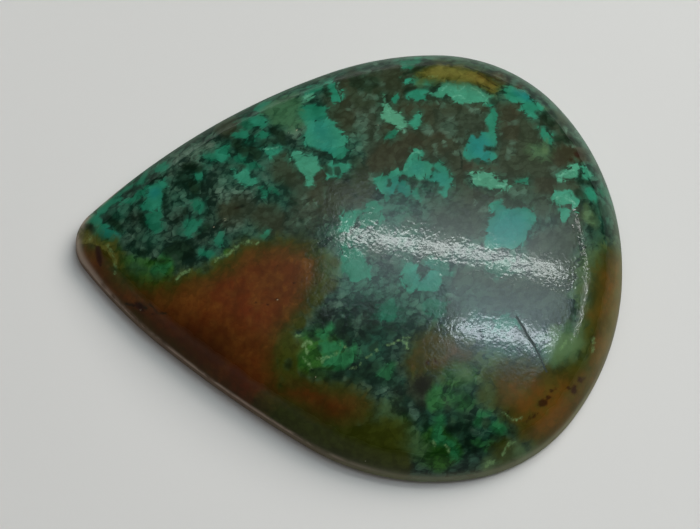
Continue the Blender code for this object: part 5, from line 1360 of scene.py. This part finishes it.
# %% Veins, specks and glints
lime = (board.mark("lime") + (cloud(3.4, 4.0, 0.65, seed=15.0) - 0.5) * 1.5).ramp(0.34, 0.90)
colour = board.mix(colour, srgb(118, 152, 98), lime * 0.78)
seam = (board.mark("seam") + (cloud(4.0, 2.0, 0.6, seed=26.0) - 0.5) * 0.5).ramp(0.38, 0.62)
colour = board.mix(colour, srgb(16, 26, 12), seam * 0.75)
speck = (board.mark("specks") + (cloud(4.0, 3.0, 0.6, seed=16.0) - 0.5) * 0.8).ramp(0.05, 0.68)
spot = board.mix(srgb(14, 20, 10), srgb(44, 18, 6), rock.most(umber * umber_tone))
colour = board.mix(colour, spot, speck * 0.85)
# painted highlight: the glint dabs lay pale sparks of light into the colour
glint_highlight = (board.mark("glint_highlights") + (cloud(9.0, 2.0, 0.6, seed=17.0) - 0.5) * 0.4).ramp(0.35, 0.7)
colour = board.mix(colour, srgb(176, 168, 140), glint_highlight * 0.8)

# %% Crack and pits
wavering = bent(0.22, 1.1, seed=24.0)


def stroke(start, end, half_width, soft=0.06):
    """A fine straight line on the stone, in millimetres: 1 along it, 0 beyond its width."""
    start, end = Vector((*start, 0.0)), Vector((*end, 0.0))
    run = end - start
    flat = board.vectors("MULTIPLY", wavering, (1.0, 1.0, 0.0))["Vector"]
    offset = board.vectors("SUBTRACT", flat, start)["Vector"]
    share = board.vectors("DOT_PRODUCT", offset, run / run.length_squared)["Value"].clamp()
    foot = board.vectors("SCALE", tuple(run), Scale=share)["Vector"]
    gap = board.vectors("DISTANCE", offset, foot)["Value"]
    return 1 - gap.ramp(half_width - soft / 2, half_width + soft / 2)


slit = stroke(CRACK[0], CRACK[1], 0.10, 0.10).most(stroke(CRACK[1], CRACK[2], 0.06))
colour = board.mix(colour, srgb(18, 32, 24), slit * 0.9)
pit = board.mark("pits").ramp(0.0, 0.7)
colour = board.mix(colour, srgb(40, 16, 8), pit * 0.85)
print("nodes with the crack:", len(board.tree.nodes))

# %% [markdown]
# ### Painted reflection on the rim and wall
# The polish is thin where the shoulder turns down to the wall, and the wall itself was only ground. Both
# are painted greyer than the top, as painted reflection of the pale table in the steep rim and wall:
# pinkish grey by the tip, olive grey by the round end, green grey on the far side. On the near side of
# the tip a fine pale line along the corner where the wall begins is a painted highlight.

# %% Painted reflection on rim and wall
rim = board.mark("rim") + (cloud(0.9, seed=30.0) - 0.5) * 0.25
at = board.node("ShaderNodeSeparateXYZ", None, {"Vector": in_mm})
far_side = (at["Y"] + at["X"] * 0.4).ramp(-5.0, 3.0)
wall = at["Z"].ramp(2.1, 1.2)
# painted reflection: pale greys that stand for the table mirrored in the steep rim and wall, tinted by the
# stone
rim_reflection = board.mix(srgb(160, 138, 118), srgb(152, 152, 104), at["X"].ramp(-4.0, 6.0))
rim_reflection = board.mix(rim_reflection, srgb(146, 166, 146), at["Y"].ramp(-2.0, 6.0))
rim_reflection_share = (rim.ramp(0.35, 0.90) * far_side * 0.25).most(wall * 0.44 * (1 - far_side * 0.5))
colour = board.mix(colour, rim_reflection, rim_reflection_share)
# painted highlight: a fine pale line where the near corner of the wall catches the light
corner_highlight = at["Z"].ramp(1.15, 1.40) * at["Z"].ramp(1.95, 1.50) * (1 - far_side)
corner_highlight = corner_highlight * cloud(0.7, 3.0, 0.6, seed=31.0).ramp(0.36, 0.56) * at["X"].ramp(6.0, -6.0)
colour = board.mix(colour, srgb(200, 178, 160), corner_highlight * 0.62)

# %% [markdown]
# ## Polish
# Turquoise takes a soft wax-like polish, and the hard rock beside it a glassier one. Polish is never quite
# flat: hard grains stand a hair proud, so a tube light breaks into sparks instead of a clean bar, most of
# all at the round end. The finest scratches spread a veil of haze round every bright reflection: a rough
# coat over the sharp polish gives it. Towards the rim the coat ends and the polish goes dull, more so by
# the tip.

# %% Polish
GRAIN_HEIGHT = 0.000008  # metres, of the pebbled skin
STONE_IOR, VEIL_IOR, VEIL_ROUGHNESS = 1.45, 2.5, 0.36

ripple = abs(cloud(1.7, seed=18.0) - 0.5)
to_end = 1.25 - at["X"] * 0.028 + at["X"].ramp(15.3, 17.5) * 0.9
uneven = (cloud(0.5, 1.0, seed=28.0).ramp(0.35, 0.65) * 0.8 + 0.8) * to_end
fine, finest = cloud(2.5, 1.0, seed=19.0), cloud(4.6, 1.0, seed=29.0)
pebble = (ripple * 1.1 + fine * 0.85 + finest * 0.40 - 0.8) * uneven
skin = {"Strength": 1.0, "Distance": GRAIN_HEIGHT, "Height": pebble}
bump = board.node("ShaderNodeBump", None, skin)["Normal"]
dulled = at["X"].ramp(4.0, -6.0) * 0.38 + 0.54
roughness = (0.085 + teal_share * 0.02 + slit * 0.4 + pit * 0.3 + rim.ramp(0.0, 0.55) * dulled).clamp()
coat = (1 - rim.ramp(0.0, 0.5)) * 0.085
board.fill(board.shader, {"Base Color": colour, "Roughness": roughness, "Normal": bump, "Coat Weight": coat,
                          "IOR": STONE_IOR, "Coat IOR": VEIL_IOR, "Coat Roughness": VEIL_ROUGHNESS})
mesh.materials.append(board.material)
print("shader nodes:", len(board.tree.nodes))

# %% Hand the stone to its body
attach(stone, "root")
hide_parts("cabochon")

# %% [markdown]
# ## The table
# A plain pale surface, slightly uneven in tone, that catches the soft shadow. It lies a hair below the
# base, so that the two flat faces don't fight for the same place.

# %% Floor
TABLE_REACH, TABLE_DROP = 1.2, 0.00003  # metres

table_mesh = bpy.data.meshes.new("table")
corners = [(x * TABLE_REACH, y * TABLE_REACH, 0) for x, y in ((-1, -1), (1, -1), (1, 1), (-1, 1))]
table_mesh.from_pydata(corners, [], [(0, 1, 2, 3)])
table = bpy.data.objects.new("table", table_mesh)
table.location.z = -TABLE_DROP
bpy.context.scene.collection.objects.link(table)
paint = Board("pale_table")
smudge = paint.node("ShaderNodeTexNoise", None, {"Vector": paint.node("ShaderNodeTexCoord")["Object"],
                                                "Scale": 14.0, "Detail": 2.0})["Fac"]
paint.fill(paint.shader, {"Base Color": paint.mix((0.680, 0.652, 0.626), (0.735, 0.705, 0.680), smudge),
                          "Roughness": 0.55, "Specular IOR Level": 0.2})
table_mesh.materials.append(paint.material)
print("floor is", [round(v, 2) for v in table.dimensions], "m")
